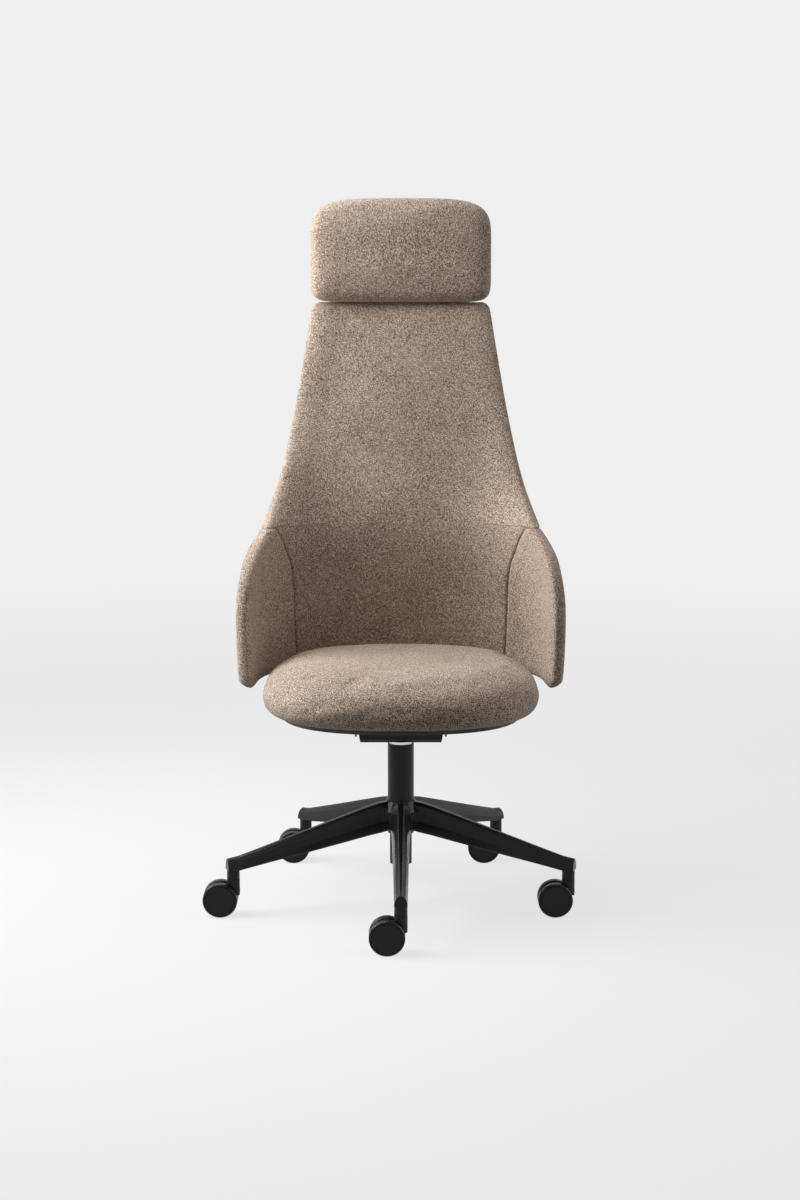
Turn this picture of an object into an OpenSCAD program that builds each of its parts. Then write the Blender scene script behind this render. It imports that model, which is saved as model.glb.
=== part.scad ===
// Executive office chair with a high upholstered shell back, side wings, a
// height-adjustable headrest, a reclining mechanism, a gas lift and a
// five-star base on twin-wheel casters.
// Front is -Y, up is +Z, and the origin is on the floor under the column.

/* [Casters] */
// Diameter of a caster wheel
wheel_d = 65; // [60:1:70]
// Width of one wheel
wheel_w = 16.5; // [14:0.5:18]
// Gap between the two wheels of a caster
wheel_gap = 9; // [8:0.5:11]
// Distance from the stem's axis to the wheels' axle
caster_trail = 24.5; // [22:0.5:27]
// Diameter of the caster's neck
neck_d = 24; // [22:0.5:26]
// Diameter of the caster's stem
stem_d = 11; // [10:0.5:12]
// Diameter of the wheels' axle
wheel_axle_d = 6; // [5:0.5:8]
// Depth of the soft tread on a wheel
tread_t = 4.5; // [3:0.5:6]

/* [Star base] */
// Radius of the circle through the caster stems
stem_circle_r = 330.5; // [310:1:350]
// Height of the legs' top edge at the column
leg_top_z = 197; // [185:1:205]
// Height of the legs' top edge at the tip
tip_top_z = 110; // [106:1:120]
// Height of the legs' underside at the hub
leg_under_z = 140; // [134:1:148]
// Height of the legs' underside at the tip
tip_under_z = 88; // [85:1:92]
// Height of the caster socket's bottom face
socket_z = 71; // [70:0.5:75]
// Width of a leg's bottom near the hub
leg_root_w = 35; // [32:1:38]
// Width of a leg's bottom at the tip
leg_tip_w = 24; // [24:1:28]
// Depth of the caster stem's socket
socket_depth = 32; // [26:1:33]

/* [Column] */
// Outer diameter of the column tube
column_d = 50; // [48:0.5:52]
// Diameter of the tube's narrow lower end
column_foot_d = 42; // [40:0.5:44]
// Wall of the column tube
column_wall = 2; // [1.5:0.25:2.5]
// Height of the column tube's top edge
column_top_z = 308.6; // [304:0.2:309]
// Height of the column tube's bottom edge
column_bottom_z = 73.5; // [72:0.5:76]
// Diameter of the gas cylinder
cylinder_d = 28; // [27:0.5:30]
// Wall of the gas cylinder
cylinder_wall = 1.5; // [1:0.25:2]
// Diameter of the piston rod
rod_d = 10; // [9:0.5:11]
// Travel of the seat height
lift_travel = 100; // [80:5:110]
// Diameter of the bright collar on the column
collar_d = 45.5; // [43:0.5:47]
// Height of the bright collar
collar_h = 5; // [3:0.5:6]

/* [Mechanism] */
// Width of the housing at its top
housing_w = 161; // [157:1:163]
// Height of the housing's bottom face
housing_z = 332; // [330:0.5:334]
// Height of the housing's top edge at the front
housing_front_z = 384; // [380:0.5:386]
// Height of the housing's top edge at the rear
housing_rear_z = 366; // [362:0.5:367]
// Distance from the column's axis to the housing's rear end
housing_rear = 88; // [84:1:90]
// Wall of the housing
housing_wall = 4; // [3:0.25:5]
// Height of the seat's front axle
front_axle_z = 360; // [358:0.5:362]
// Diameter of the seat's front axle
front_axle_d = 10; // [8:0.5:11]
// Distance of the back's main axle behind the column's axis
main_axle_y = 55; // [53:0.5:57]
// Height of the back's main axle
main_axle_z = 357; // [355:0.5:359]
// Diameter of the back's main axle
main_axle_d = 12; // [10:0.5:13]
// Distance of the link pin behind the column's axis
link_y = 150; // [146:1:154]
// Diameter of the link pin
link_pin_d = 8; // [7:0.5:9]
// Wire of the recline spring
spring_wire_d = 5; // [4:0.25:5.5]
// Turns of each half of the recline spring
spring_turns = 4; // [3:1:4]
// Reach of the height lever from the column's axis
height_lever_x = 172; // [160:1:178]
// Reach of the lock lever from the column's axis
lock_lever_x = 165; // [150:1:170]

/* [Seat] */
// Width of the seat cushion
seat_w = 521; // [500:1:535]
// Length of the seat cushion
seat_l = 477; // [460:1:478]
// Distance of the cushion's rear edge behind the column's axis
seat_rear = 215; // [207:1:217]
// Height of the cushion's bottom edge
seat_bottom_z = 381.6; // [380:0.2:383]
// Thickness of the cushion at its crown
seat_t = 94; // [84:1:100]
// Height of the under-pan's bottom face
pan_z = 368; // [367:0.5:372]
// Wall of the under-pan
pan_wall = 2.5; // [2:0.25:3]
// Thickness of the seat board
board_t = 8; // [7:0.5:10]
// Height of the seat plate's underside
plate_z = 398; // [397:0.5:400]
// Thickness of the seat plate
plate_t = 2.5; // [2:0.25:3]

/* [Back] */
// Height of the shell's lower edge
shell_bottom_z = 417; // [415:1:425]
// Height of the shell's top edge
shell_top_z = 1134.5; // [1110:0.5:1136]
// Width of the shell at its wings
shell_w = 623; // [618:1:640]
// Thickness of the shell along its rim
rim_t = 32; // [28:1:34]
// Thickness of the shell along its middle
spine_t = 44; // [42:1:48]
// Thickness of the front upholstery
pad_t = 20; // [18:1:21]
// Thickness of the load-bearing core shell
core_t = 6; // [5:0.5:7]
// Thickness of the rear cover
cover_t = 6; // [5:0.5:7]
// Height of the seam where a wing's panel ends
wing_top_z = 705; // [700:1:712]
// Width of the back bracket
bracket_w = 84; // [70:1:90]
// Thickness of the back bracket
bracket_t = 6; // [5:0.5:7]
// Height of the back bracket's top edge
bracket_top_z = 560; // [520:5:600]

/* [Headrest] */
// Width of the headrest
headrest_w = 359; // [340:1:370]
// Height of the headrest's lower edge
headrest_z = 1136.5; // [1136:0.5:1160]
// Height of the headrest cushion
headrest_h = 202.2; // [180:0.1:210]
// Thickness of the headrest cushion
headrest_t = 68; // [60:1:72]
// Distance of the headrest's front face behind the column's axis
headrest_front_y = 289; // [284:1:292]
// Corner radius along the headrest's top
headrest_top_r = 55; // [45:1:62]
// Corner radius along the headrest's bottom
headrest_bottom_r = 34; // [26:1:45]
// Travel of the headrest
headrest_travel = 60; // [40:5:60]
// Width of the headrest's stem
headrest_stem_w = 32; // [26:1:40]
// Thickness of the headrest's stem
headrest_stem_t = 5; // [4:0.5:5.5]

/* [Hidden] */
$fn = 64;

// Clearances that the pieces share
// Radial clearance of a shaft that turns or slides in its bore
running = 0.05;
// Clearance between pieces that only lie next to each other
gap = 0.3;
// How far every cut runs past the face that it leaves
overrun = 1;
// Radial clearance of a pressed or glued joint
seated = 0.02;

// Star base
leg_count = 5;
leg_step = 360 / leg_count;
hub_wall = 3;
hub_bulge = 11;
hub_foot_wall = 4;
hub_foot_drop = 6;
hub_top_d = column_d + 2 * hub_wall;
hub_mid_d = column_d + 2 * hub_bulge;
hub_foot_d = column_foot_d + 2 * hub_foot_wall;
hub_foot_z = leg_under_z - hub_foot_drop;
leg_tip_r = stem_circle_r + leg_tip_w / 2;
leg_root_r = column_d * 0.55;
leg_top_w = 12;
leg_tip_top_w = 2;
leg_wall = 4;
// Share of the way from hub to tip, flare of the width, and share of the
// fall of the top and bottom edges at each station of a leg
leg_station_shares = [[0, 1.26, 0, -0.08], [0.05, 1.12, 0.022, 0], [0.12, 1.02, 0.085, 0.075],
    [0.25, 1, 0.225, 0.23], [0.5, 1, 0.5, 0.52], [0.75, 1, 0.77, 0.79], [0.93, 1, 0.96, 1],
    [1, 1, 1, 1]];
// Height share and width share of the points up one side of a leg
leg_side_shares = [[0, 0.86], [0.07, 1], [0.38, 0.93], [0.7, 0.66], [0.9, 0.28], [1, 0]];
sleeve_wall = 1.5;

// Column
column_foot_taper = 40;
hub_seat_drop = 8;
hub_seat_z = leg_top_z - hub_seat_drop;
column_lip = 1.6;
tube_ring_drop = 3;
tube_ring_h = 0.8;
tube_ring_depth = 0.4;
tube_skirt = 5.5;
tube_floor_z = column_bottom_z + tube_skirt;
tube_floor_t = 3.5;
bush_h = 80;
bush_band = 14;
bush_relief = 3;
washer_play = 3;
washer_d = column_foot_d - 2 * column_wall - 2 * washer_play;
washer_t = 2.5;
ball_d = 4;
ball_count = 10;
ball_circle_d = (washer_d + rod_d) / 2;
clip_t = 1.8;
clip_band = 3;
clip_groove = 0.8;
clip_d = rod_d + 2 * clip_band;
rod_tail = 2;
bearing_z = tube_floor_z + tube_floor_t;
bearing_top_z = bearing_z + 2 * washer_t + ball_d;
rod_shoulder = 3;
rod_shoulder_d = rod_d + 2 * rod_shoulder;
rod_shoulder_h = 2.5;
buffer_inset = 2;
buffer_d = cylinder_d - 2 * buffer_inset;
buffer_h = 12;
cylinder_rest = 2;
cylinder_z = bearing_top_z + rod_shoulder_h + buffer_h + cylinder_rest;
// Height of the gas cylinder's top face
cylinder_top_z = 358;
cylinder_cap = 8;
gland_h = 15;
cone_drop = 1.2;
piston_h = 12;
piston_reserve = 6;
rod_top_z = cylinder_z + gland_h + lift_travel + piston_h + piston_reserve;
valve_d = 8;
valve_up = 6;

// Mechanism
socket_boss_d = 46;
socket_boss_z = 318;
socket_lip = 2;
socket_top_z = cylinder_top_z - socket_lip;
// The seat's front axle stands at this share of the cushion's reach forward
front_axle_share = 0.44;
seat_front = seat_l - seat_rear;
front_axle_y = front_axle_share * seat_front;
housing_nose_l = 45;
housing_front = front_axle_y + housing_nose_l;
housing_draft = 13;
housing_base_w = housing_w - housing_draft;
housing_chamfer = 8;
housing_nose_h = 18;
housing_knee_h = 11;
housing_knee_l = 10;
housing_belly_l = 60;
housing_nose_z = housing_z + housing_nose_h;
housing_knee_z = housing_z + housing_knee_h;
housing_knee_y = housing_front - housing_knee_l;
housing_belly_y = housing_front - housing_belly_l;
clip_w = 1.5;
axle_end = 3;
ear_t = 3.5;
ear_play = 1;
plate_w = housing_w + 2 * (ear_t + ear_play);
ear_r = 14;
carrier_half_w = 56;
carrier_inner = 38;
carrier_hub_d = 27;
carrier_t = 12;
carrier_tail = 12;
carrier_rear_y = link_y + carrier_tail;
link_boss_d = 20;
link_ear_x = 60;
link_ear_t = 4;
link_slot_h = 9.2;
link_slot_l = 18;
spring_play = 1.2;
spring_space = 1.1;
spring_r = main_axle_d / 2 + spring_play + spring_wire_d / 2;
spring_in = 5;
spring_pitch = spring_wire_d + spring_space;
spring_leg = 24;
// Direction from the axle in which each spring leg leaves its turns
spring_leg_angle = 60;
spring_bar_y = main_axle_y - spring_leg;
spring_sides = 6;
spring_steps = 12;
seat_bar_w = 78;
seat_bar_l = 11;
seat_bar_h = 5;
screw_d = 6;
screw_head_d = 10;
screw_head_h = 4;
lever_w = 10;
lever_t = 5;
lever_z = cylinder_top_z + valve_up + gap;
lever_pivot_in = 8;
lever_pivot_x = housing_base_w / 2 - lever_pivot_in;
lever_pivot_d = 4;
lever_play = 3.5;
lever_drop_x = housing_w / 2 + lever_play;
lever_paddle_l = 44;
lever_paddle_w = 24;
lever_out_z = 338;
lever_out_t = 6;
lug_t = 4;
lug_l = 13;
lever_window_w = 16;
lever_window_h = 14;
lock_r = 30;
lock_y = main_axle_y - lock_r;
lock_pin_d = 6;
lock_tip_x = 57;
lock_travel = 8;
lock_play = 0.5;
lock_knee_x = housing_w / 2 + lock_play + lock_travel + lever_t;
lock_angle = 20;
lock_plate_r = 36;
lock_plate_t = 6;
// Directions of the lock plate's rim, as shares of the lock's angle
lock_rim_shares = [-0.6, 0, 0.6, 1.1, 1.5];

// Seat
seat_centre_y = seat_l / 2 - seat_front;
seat_power = 2.5;
seat_points = 44;
// Height share and inset share at each level of the cushion's profile
seat_profile_shares = [[0, 0.105], [0.045, 0.058], [0.15, 0.018], [0.32, 0], [0.5, 0.008],
    [0.66, 0.032], [0.79, 0.078], [0.885, 0.155], [0.95, 0.29], [0.985, 0.5], [1, 0.76]];
seat_front_fall = 5;
recess_inset = 28;
pan_inset = recess_inset + gap;
pan_foot_inset = 58;
pan_knee_inset = 36;
pan_knee_h = 5;
pan_knee_z = pan_z + pan_knee_h;
channel_side = 3;
channel_w = 2 * (lock_knee_x + channel_side);
channel_play = 12;
channel_front = housing_front + channel_play;
plate_nose = 34;
plate_front = front_axle_y + plate_nose;
plate_tail = 22;
plate_rear = link_y + plate_tail;
board_inset = recess_inset + gap;
board_z = plate_z + plate_t + gap;
seat_screw_x = 60;
seat_screw_y = 100;
plate_window_d = 60;

// Back shell at each level: height share, half width as a share of the
// shell's width, the rim's and the middle's place behind the column's axis
// as shares of its depth, and how far round the shell turns forward
shell_depth = 315;
shell_level_shares = [
    [0, 0.4815, -0.03, 0.705, 1],
    [0.018, 0.491, -0.035, 0.705, 1],
    [0.06, 0.4955, -0.035, 0.703, 1],
    [0.12, 0.4985, -0.028, 0.698, 1],
    [0.18, 0.5, -0.015, 0.692, 1],
    [0.225, 0.499, 0.002, 0.688, 1],
    [0.262, 0.4945, 0.022, 0.686, 0.995],
    [0.3, 0.4875, 0.065, 0.687, 0.98],
    [0.334, 0.4785, 0.145, 0.689, 0.95],
    [0.366, 0.4612, 0.255, 0.693, 0.9],
    [0.4, 0.4372, 0.375, 0.702, 0.83],
    [0.435, 0.4194, 0.475, 0.713, 0.76],
    [0.47, 0.404, 0.548, 0.727, 0.69],
    [0.51, 0.3885, 0.609, 0.7475, 0.63],
    [0.57, 0.3705, 0.677, 0.783, 0.56],
    [0.64, 0.3535, 0.752, 0.8245, 0.51],
    [0.72, 0.3355, 0.818, 0.863, 0.48],
    [0.8, 0.3195, 0.868, 0.9021, 0.46],
    [0.88, 0.3045, 0.914, 0.9413, 0.45],
    [0.95, 0.2915, 0.9505, 0.9755, 0.44],
    [1, 0.2825, 0.9765, 1, 0.44]];
shell_h = shell_top_z - shell_bottom_z;
shell_power = 2.6;
seam_groove = 3;
// Where the seam between the middle and a wing runs: height share of the
// wing, and share of the way round from the middle to the rim
seam_shares = [[0, 0.47], [0.4, 0.474], [0.6, 0.481], [0.75, 0.527], [0.84, 0.608], [0.9, 0.7],
    [0.94, 0.79], [0.975, 0.88], [1, 0.92]];
roll_r = rim_t / 2;
roll_points = 5;
quarter = 90;
roll_angle = 2 * quarter;
wing_side_points = 6;
// Shares of the way from the middle to the seam, and from the seam to the
// layers' edges, at which the layers bend
inner_shares = [0, 0.18, 0.36, 0.53, 0.7, 0.86, 1];
outer_shares = [0.25, 0.5, 0.75, 1];
core_top_z = shell_top_z - roll_r - gap;
core_rise = 14;
core_bottom_z = shell_bottom_z + core_rise;
layer_edge_share = 0.943;
stub_edge_share = 0.95;
stub_share = 0.6;
seam_power = 14;
front_power = 1.7;
// Heights of the levels near a rounded edge, as shares of its radius
edge_level_shares = [0.05, 0.3, 0.7];
// Heights of the levels above the wings, as shares of the shell's height
high_level_shares = [0.43, 0.485, 0.57, 0.66, 0.75, 0.84, 0.92];
// Heights of the levels of a wing, as shares of its height
wing_level_shares = [0.12, 0.26, 0.4, 0.53, 0.65, 0.76, 0.85, 0.91, 0.955, 0.985, 1];

// Back bracket
bracket_in_z = main_axle_z - carrier_t / 2 - bracket_t - gap;
bracket_front_y = 100;
bracket_bend = 14;
bracket_screw_y = 116;
bracket_screw_x = 26;
bracket_screw_step = 18;
shell_screw_z = 470;
shell_screw_rise = 60;

// Headrest
slope_low_z = 970;
slope_high_z = 1112;
headrest_crown = 5;
headrest_points = 7;
// Depth share and inset share at each level of the cushion's profile
headrest_profile_shares = [[0, 0.62], [0.025, 0.36], [0.09, 0.17], [0.2, 0.06], [0.36, 0.008],
    [0.5, 0], [0.64, 0.012], [0.8, 0.07], [0.91, 0.18], [0.975, 0.36], [1, 0.62]];
// Places of the points along the headrest's crowned top, as shares
headrest_top_shares = [0.6, 0.2, 0, -0.2, -0.6];
headrest_core_w = 250;
headrest_core_h = 120;
headrest_core_t = 8;
headrest_core_rise = 42;
headrest_core_z = headrest_z + headrest_core_rise;
guide_h = 70;
guide_drop = 8;
guide_z = core_top_z - guide_h - guide_drop;
guide_wall = 3;
stem_tail = 12;
stem_low_z = guide_z - headrest_travel - stem_tail;
stem_head = 80;
stem_high_z = headrest_core_z + stem_head;

// Casters
caster_gap = 0.7;
swivel_gap = 0.8;
neck_top_z = socket_z - swivel_gap;
neck_low_z = 40;
stem_low = 60;
stem_end_gap = 1;
web_t = wheel_gap - 2 * caster_gap;
wheel_play = 0.6;
wheel_groove_d = 55;
wheel_groove_w = 1.5;
wheel_groove_depth = 0.7;
wheel_round = 3;
wheel_hub_d = 16;
wheel_hollow = 9;

// Point on a hand-drawn table: value in column k of the rows at height s,
// drawn smoothly through the rows
function row_below(t, s) = max([for (i = [0:len(t) - 2]) if (t[i][0] <= s) i]);
function slope_at(t, i, k) =
    let (a = max(i - 1, 0), b = min(i + 1, len(t) - 1)) (t[b][k] - t[a][k]) / (t[b][0] - t[a][0]);
function hermite(p, q, m, n, w, x) =
    p * (1 + 2 * x) * (1 - x) * (1 - x) + m * w * x * (1 - x) * (1 - x)
    + q * x * x * (3 - 2 * x) + n * w * x * x * (x - 1);
function along(t, s, k) =
    let (i = row_below(t, min(max(s, 0), 1)), w = t[i + 1][0] - t[i][0],
        x = (min(max(s, 0), 1) - t[i][0]) / w)
    hermite(t[i][k], t[i + 1][k], slope_at(t, i, k), slope_at(t, i + 1, k), w, x);
function straight(t, s, k) =
    let (i = row_below(t, min(max(s, 0), 1)), w = t[i + 1][0] - t[i][0],
        x = (min(max(s, 0), 1) - t[i][0]) / w)
    t[i][k] * (1 - x) + t[i + 1][k] * x;

// Sign-keeping power, for superellipses
function spow(v, p) = sign(v) * pow(abs(v), p);

// Triangles that cover a ring by steps from one side to the other, from its
// first and last points on
function steps(n) =
    [for (j = [0:ceil(n / 2) - 2])
        each j + 1 < n - 2 - j
            ? [[j, j + 1, n - 1 - j], [j + 1, n - 2 - j, n - 1 - j]]
            : [[j, j + 1, n - 1 - j]]];

// Solid through a list of rings that all have the same number of points.
// The turned one divides each four-sided facet along its other diagonal.
module skin(rings, turned = false) {
    n = len(rings[0]);
    m = len(rings);
    far = turned ? 0 : 1;
    polyhedron(points = [for (r = rings) each r],
        faces = [
            for (t = steps(n)) t,
            for (i = [0:m - 2]) for (j = [0:n - 1])
                [i * n + (j + 1 - far) % n, (i + 1) * n + j, (i + 1) * n + (j + 1) % n],
            for (i = [0:m - 2]) for (j = [0:n - 1])
                [i * n + j, (i + 1) * n + (j + far) % n, i * n + (j + 1) % n],
            for (t = steps(n)) [for (k = [len(t) - 1:-1:0]) (m - 1) * n + t[k]]]);
}

// Ring about the column's axis between two heights
module ring_z(d_out, d_in, z_low, z_high) {
    difference() {
        translate([0, 0, z_low]) cylinder(d = d_out, h = z_high - z_low);
        translate([0, 0, z_low - overrun])
            cylinder(d = d_in, h = z_high - z_low + 2 * overrun);
    }
}

// Round bar along X between two places
module bar_x(d, x_low, x_high, y, z) {
    translate([x_low, y, z]) rotate([0, 90, 0]) cylinder(d = d, h = x_high - x_low);
}

// Box given by its two corners
module box(low, high) {
    translate(low) cube(high - low);
}

// Flat shape drawn in Y and Z, as thick as a stretch of X
module slab_x(x_low, x_high, outline) {
    translate([x_low, 0, 0]) rotate([90, 0, 90])
        linear_extrude(x_high - x_low) polygon(outline);
}

// Flat shape drawn in X and Z, as deep as a stretch of Y
module slab_y(y_low, y_high, outline) {
    translate([0, y_high, 0]) rotate([90, 0, 0])
        linear_extrude(y_high - y_low) polygon(outline);
}

// Star base
function leg_ring(s, flare, top_fall, under_fall, inset) =
    let (r = leg_root_r + s * (leg_tip_r - leg_root_r),
        half = flare * (leg_root_w + s * (leg_tip_w - leg_root_w)) / 2 - inset,
        half_top = max((leg_top_w + s * (leg_tip_top_w - leg_top_w)) / 2 - inset / 2, leg_tip_top_w / 4),
        top = leg_top_z + top_fall * (tip_top_z - leg_top_z) - inset,
        low = leg_under_z + under_fall * (tip_under_z - leg_under_z) - (inset > 0 ? overrun : 0))
    concat(
        [for (p = leg_side_shares) [r, half_top + (half - half_top) * p[1], low + (top - low) * p[0]]],
        [for (i = [len(leg_side_shares) - 1:-1:0]) let (p = leg_side_shares[i])
            [r, -half_top - (half - half_top) * p[1], low + (top - low) * p[0]]]);

module leg() {
    skin([for (s = leg_station_shares) leg_ring(s[0], s[1], s[2], s[3], 0)]);
}

module leg_hollow() {
    skin([for (i = [2:5]) let (s = leg_station_shares[i])
        leg_ring(s[0], s[1], s[2], s[3], leg_wall)]);
}

// Places a child at each caster socket, with the front one first
module at_socket(k) {
    rotate([0, 0, -90 + (k - 1) * leg_step]) translate([stem_circle_r, 0, 0]) children();
}

module star_base() {
    color([0.06, 0.06, 0.065]) difference() {
        union() {
            for (k = [1:leg_count]) rotate([0, 0, -90 + (k - 1) * leg_step]) difference() {
                leg();
                leg_hollow();
            }
            rotate_extrude() polygon([[0, hub_foot_z], [hub_foot_d / 2, hub_foot_z],
                [hub_foot_d / 2, leg_under_z], [hub_mid_d / 2, leg_under_z + hub_top_d / 6],
                [hub_mid_d / 2, leg_top_z - hub_top_d / 3], [hub_top_d / 2, leg_top_z],
                [hub_top_d / 2, leg_top_z + column_lip], [0, leg_top_z + column_lip]]);
            for (k = [1:leg_count]) at_socket(k) {
                translate([0, 0, socket_z])
                    cylinder(d = leg_tip_w, h = tip_under_z - socket_z + leg_wall);
            }
        }
        column_taper(seated, hub_foot_z - overrun, leg_top_z + column_lip + overrun);
        for (k = [1:leg_count]) at_socket(k) translate([0, 0, socket_z - overrun])
            cylinder(d = stem_d + 2 * sleeve_wall + 2 * seated, h = socket_depth + overrun);
    }
}

// Outside of the column tube where the hub grips it
module column_taper(extra, z_low, z_high) {
    rotate_extrude() polygon([[0, z_low], [column_foot_d / 2 + extra, z_low],
        [column_foot_d / 2 + extra, hub_seat_z - column_foot_taper],
        [column_d / 2 + extra, hub_seat_z], [column_d / 2 + extra, z_high], [0, z_high]]);
}

module column_tube() {
    color([0.05, 0.05, 0.055]) difference() {
        column_taper(0, column_bottom_z, column_top_z);
        difference() {
            column_taper(-column_wall, column_bottom_z - overrun, column_top_z + overrun);
            translate([0, 0, tube_floor_z]) cylinder(d = column_d, h = tube_floor_t);
        }
        translate([0, 0, tube_floor_z - overrun])
            cylinder(d = rod_d + 2 * gap, h = tube_floor_t + 2 * overrun);
        ring_z(column_d + 2 * overrun, column_d - 2 * tube_ring_depth,
            column_top_z - tube_ring_drop - tube_ring_h, column_top_z - tube_ring_drop);
    }
}

module guide_bush() {
    r_out = column_d / 2 - column_wall - seated;
    r_in = cylinder_d / 2 + running;
    low = column_top_z - bush_h;
    color("dimgray") rotate_extrude() polygon([[r_in, low], [r_out, low], [r_out, low + bush_band],
        [r_out - bush_relief, low + bush_band], [r_out - bush_relief, column_top_z - bush_band],
        [r_out, column_top_z - bush_band], [r_out, column_top_z], [r_in, column_top_z]]);
}

module column_collar() {
    color("silver") ring_z(collar_d, cylinder_d + 2 * gap, column_top_z, column_top_z + collar_h);
}

module thrust_bearing() {
    color("silver") {
        ring_z(washer_d, rod_d + 2 * gap, bearing_z, bearing_z + washer_t);
        ring_z(washer_d, rod_d + 2 * gap, bearing_z + washer_t + ball_d, bearing_top_z);
        for (i = [0:ball_count - 1]) rotate([0, 0, i * 360 / ball_count])
            translate([ball_circle_d / 2, 0, bearing_z + washer_t + ball_d / 2])
                sphere(d = ball_d - running, $fn = 24);
    }
}

module retaining_clip() {
    color("gray") ring_z(clip_d, rod_d - 2 * clip_groove, tube_floor_z - gap - clip_t, tube_floor_z - gap);
}

module socket_sleeves() {
    color("dimgray") for (k = [1:leg_count]) at_socket(k) {
        ring_z(stem_d + 2 * sleeve_wall, stem_d + 2 * running, socket_z, socket_z + socket_depth);
    }
}

// Parts that turn with the seat but don't rise with it
module piston_rod() {
    clip_z = tube_floor_z - gap - clip_t;
    r = rod_d / 2;
    neck = r - clip_groove - seated;
    color("silver") rotate_extrude() polygon([[0, clip_z - rod_tail], [r - gap, clip_z - rod_tail],
        [r - gap, clip_z - seated], [neck, clip_z - seated], [neck, clip_z + clip_t + seated],
        [r, clip_z + clip_t + seated], [r, bearing_top_z + running],
        [rod_shoulder_d / 2, bearing_top_z + running],
        [rod_shoulder_d / 2, bearing_top_z + rod_shoulder_h],
        [r, bearing_top_z + rod_shoulder_h], [r, rod_top_z], [0, rod_top_z]]);
}

module piston() {
    color("dimgray") ring_z(cylinder_d - 2 * cylinder_wall - 2 * running, rod_d + 2 * seated,
        rod_top_z - piston_h, rod_top_z);
}

module rubber_buffer() {
    color([0.1, 0.1, 0.1]) ring_z(buffer_d, rod_d + 2 * seated,
        bearing_top_z + rod_shoulder_h, bearing_top_z + rod_shoulder_h + buffer_h);
}

// Outside of the gas cylinder's upper cone
module cylinder_body(extra, z_low, z_high) {
    rotate_extrude() polygon([[0, z_low], [cylinder_d / 2 + extra, z_low],
        [cylinder_d / 2 + extra, socket_boss_z],
        [(cylinder_d - cone_drop) / 2 + extra, cylinder_top_z],
        [(cylinder_d - cone_drop) / 2 + extra, z_high], [0, z_high]]);
}

module gas_cylinder() {
    color("silver") difference() {
        cylinder_body(0, cylinder_z, cylinder_top_z);
        translate([0, 0, cylinder_z + gland_h])
            cylinder(d = cylinder_d - 2 * cylinder_wall,
                h = cylinder_top_z - cylinder_cap - cylinder_z - gland_h);
        translate([0, 0, cylinder_z - overrun])
            cylinder(d = rod_d + 2 * running, h = gland_h + 2 * overrun);
        translate([0, 0, cylinder_top_z - cylinder_cap - overrun])
            cylinder(d = valve_d + 2 * running, h = cylinder_cap + 2 * overrun);
    }
}

module release_button() {
    color("gainsboro") translate([0, 0, cylinder_top_z - cylinder_cap])
        cylinder(d = valve_d, h = cylinder_cap + valve_up);
}

// Mechanism housing, open at its top and rear
module housing_block(inset, rise) {
    intersection() {
        slab_x(-housing_w, housing_w, [
            [-housing_front + inset, housing_front_z + rise],
            [-housing_front + inset, housing_nose_z + inset / 2],
            [-housing_knee_y + inset / 2, housing_knee_z + inset],
            [-housing_belly_y, housing_z + inset],
            [housing_rear + rise, housing_z + inset],
            [housing_rear + rise, housing_rear_z + rise],
            [-front_axle_y, housing_front_z + rise]]);
        slab_y(-housing_front - overrun, housing_rear + rise + overrun, [
            [-housing_base_w / 2 + housing_chamfer + inset, housing_z],
            [housing_base_w / 2 - housing_chamfer - inset, housing_z],
            [housing_base_w / 2 - inset, housing_z + housing_chamfer],
            [housing_w / 2 - inset, housing_front_z + rise],
            [-housing_w / 2 + inset, housing_front_z + rise],
            [-housing_base_w / 2 + inset, housing_z + housing_chamfer]]);
    }
}

module mechanism_housing() {
    color([0.08, 0.08, 0.085]) difference() {
        union() {
            difference() {
                housing_block(0, 0);
                housing_block(housing_wall, overrun);
            }
            translate([0, 0, socket_boss_z])
                cylinder(d = socket_boss_d, h = socket_top_z - socket_boss_z);
            for (s = [-1, 1]) box(
                [lever_pivot_x - lug_l / 2, s > 0 ? lever_w / 2 + gap : -lever_w / 2 - gap - lug_t,
                    housing_z + housing_wall / 2],
                [lever_pivot_x + lug_l / 2, s > 0 ? lever_w / 2 + gap + lug_t : -lever_w / 2 - gap,
                    lever_z + lever_t]);
        }
        cylinder_body(seated, socket_boss_z - overrun, socket_top_z + overrun);
        bar_x(front_axle_d + 2 * running, -housing_w, housing_w, -front_axle_y, front_axle_z);
        bar_x(main_axle_d + 2 * running, -housing_w, housing_w, main_axle_y, main_axle_z);
        bar_x(lock_pin_d + 2 * running, -housing_w, 0, lock_y, main_axle_z);
        box([lever_pivot_x + lug_l / 2, -lever_window_w / 2, lever_z - lever_window_h / 2],
            [housing_w, lever_window_w / 2, housing_front_z]);
        translate([lever_pivot_x, 0, lever_z + lever_t / 2]) rotate([90, 0, 0])
            cylinder(d = lever_pivot_d + 2 * seated, h = housing_w, center = true);
        for (s = [-1, 1]) translate([s * seat_bar_w / 3, spring_bar_y, 0])
            cylinder(d = screw_d + 2 * gap, h = housing_z + housing_wall + overrun);
    }
}

// Pins that pass through the housing
module front_axle() {
    half = plate_w / 2 + axle_end;
    color("silver") bar_x(front_axle_d, -half, half, -front_axle_y, front_axle_z);
}

module main_axle() {
    half = housing_w / 2 + axle_end;
    color("silver") bar_x(main_axle_d, -half, half, main_axle_y, main_axle_z);
}

module axle_clip(x, y, z, d) {
    difference() {
        bar_x(d + 2 * axle_end, x, x + clip_w, y, z);
        bar_x(d + 2 * seated, x - overrun, x + clip_w + overrun, y, z);
    }
}

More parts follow.
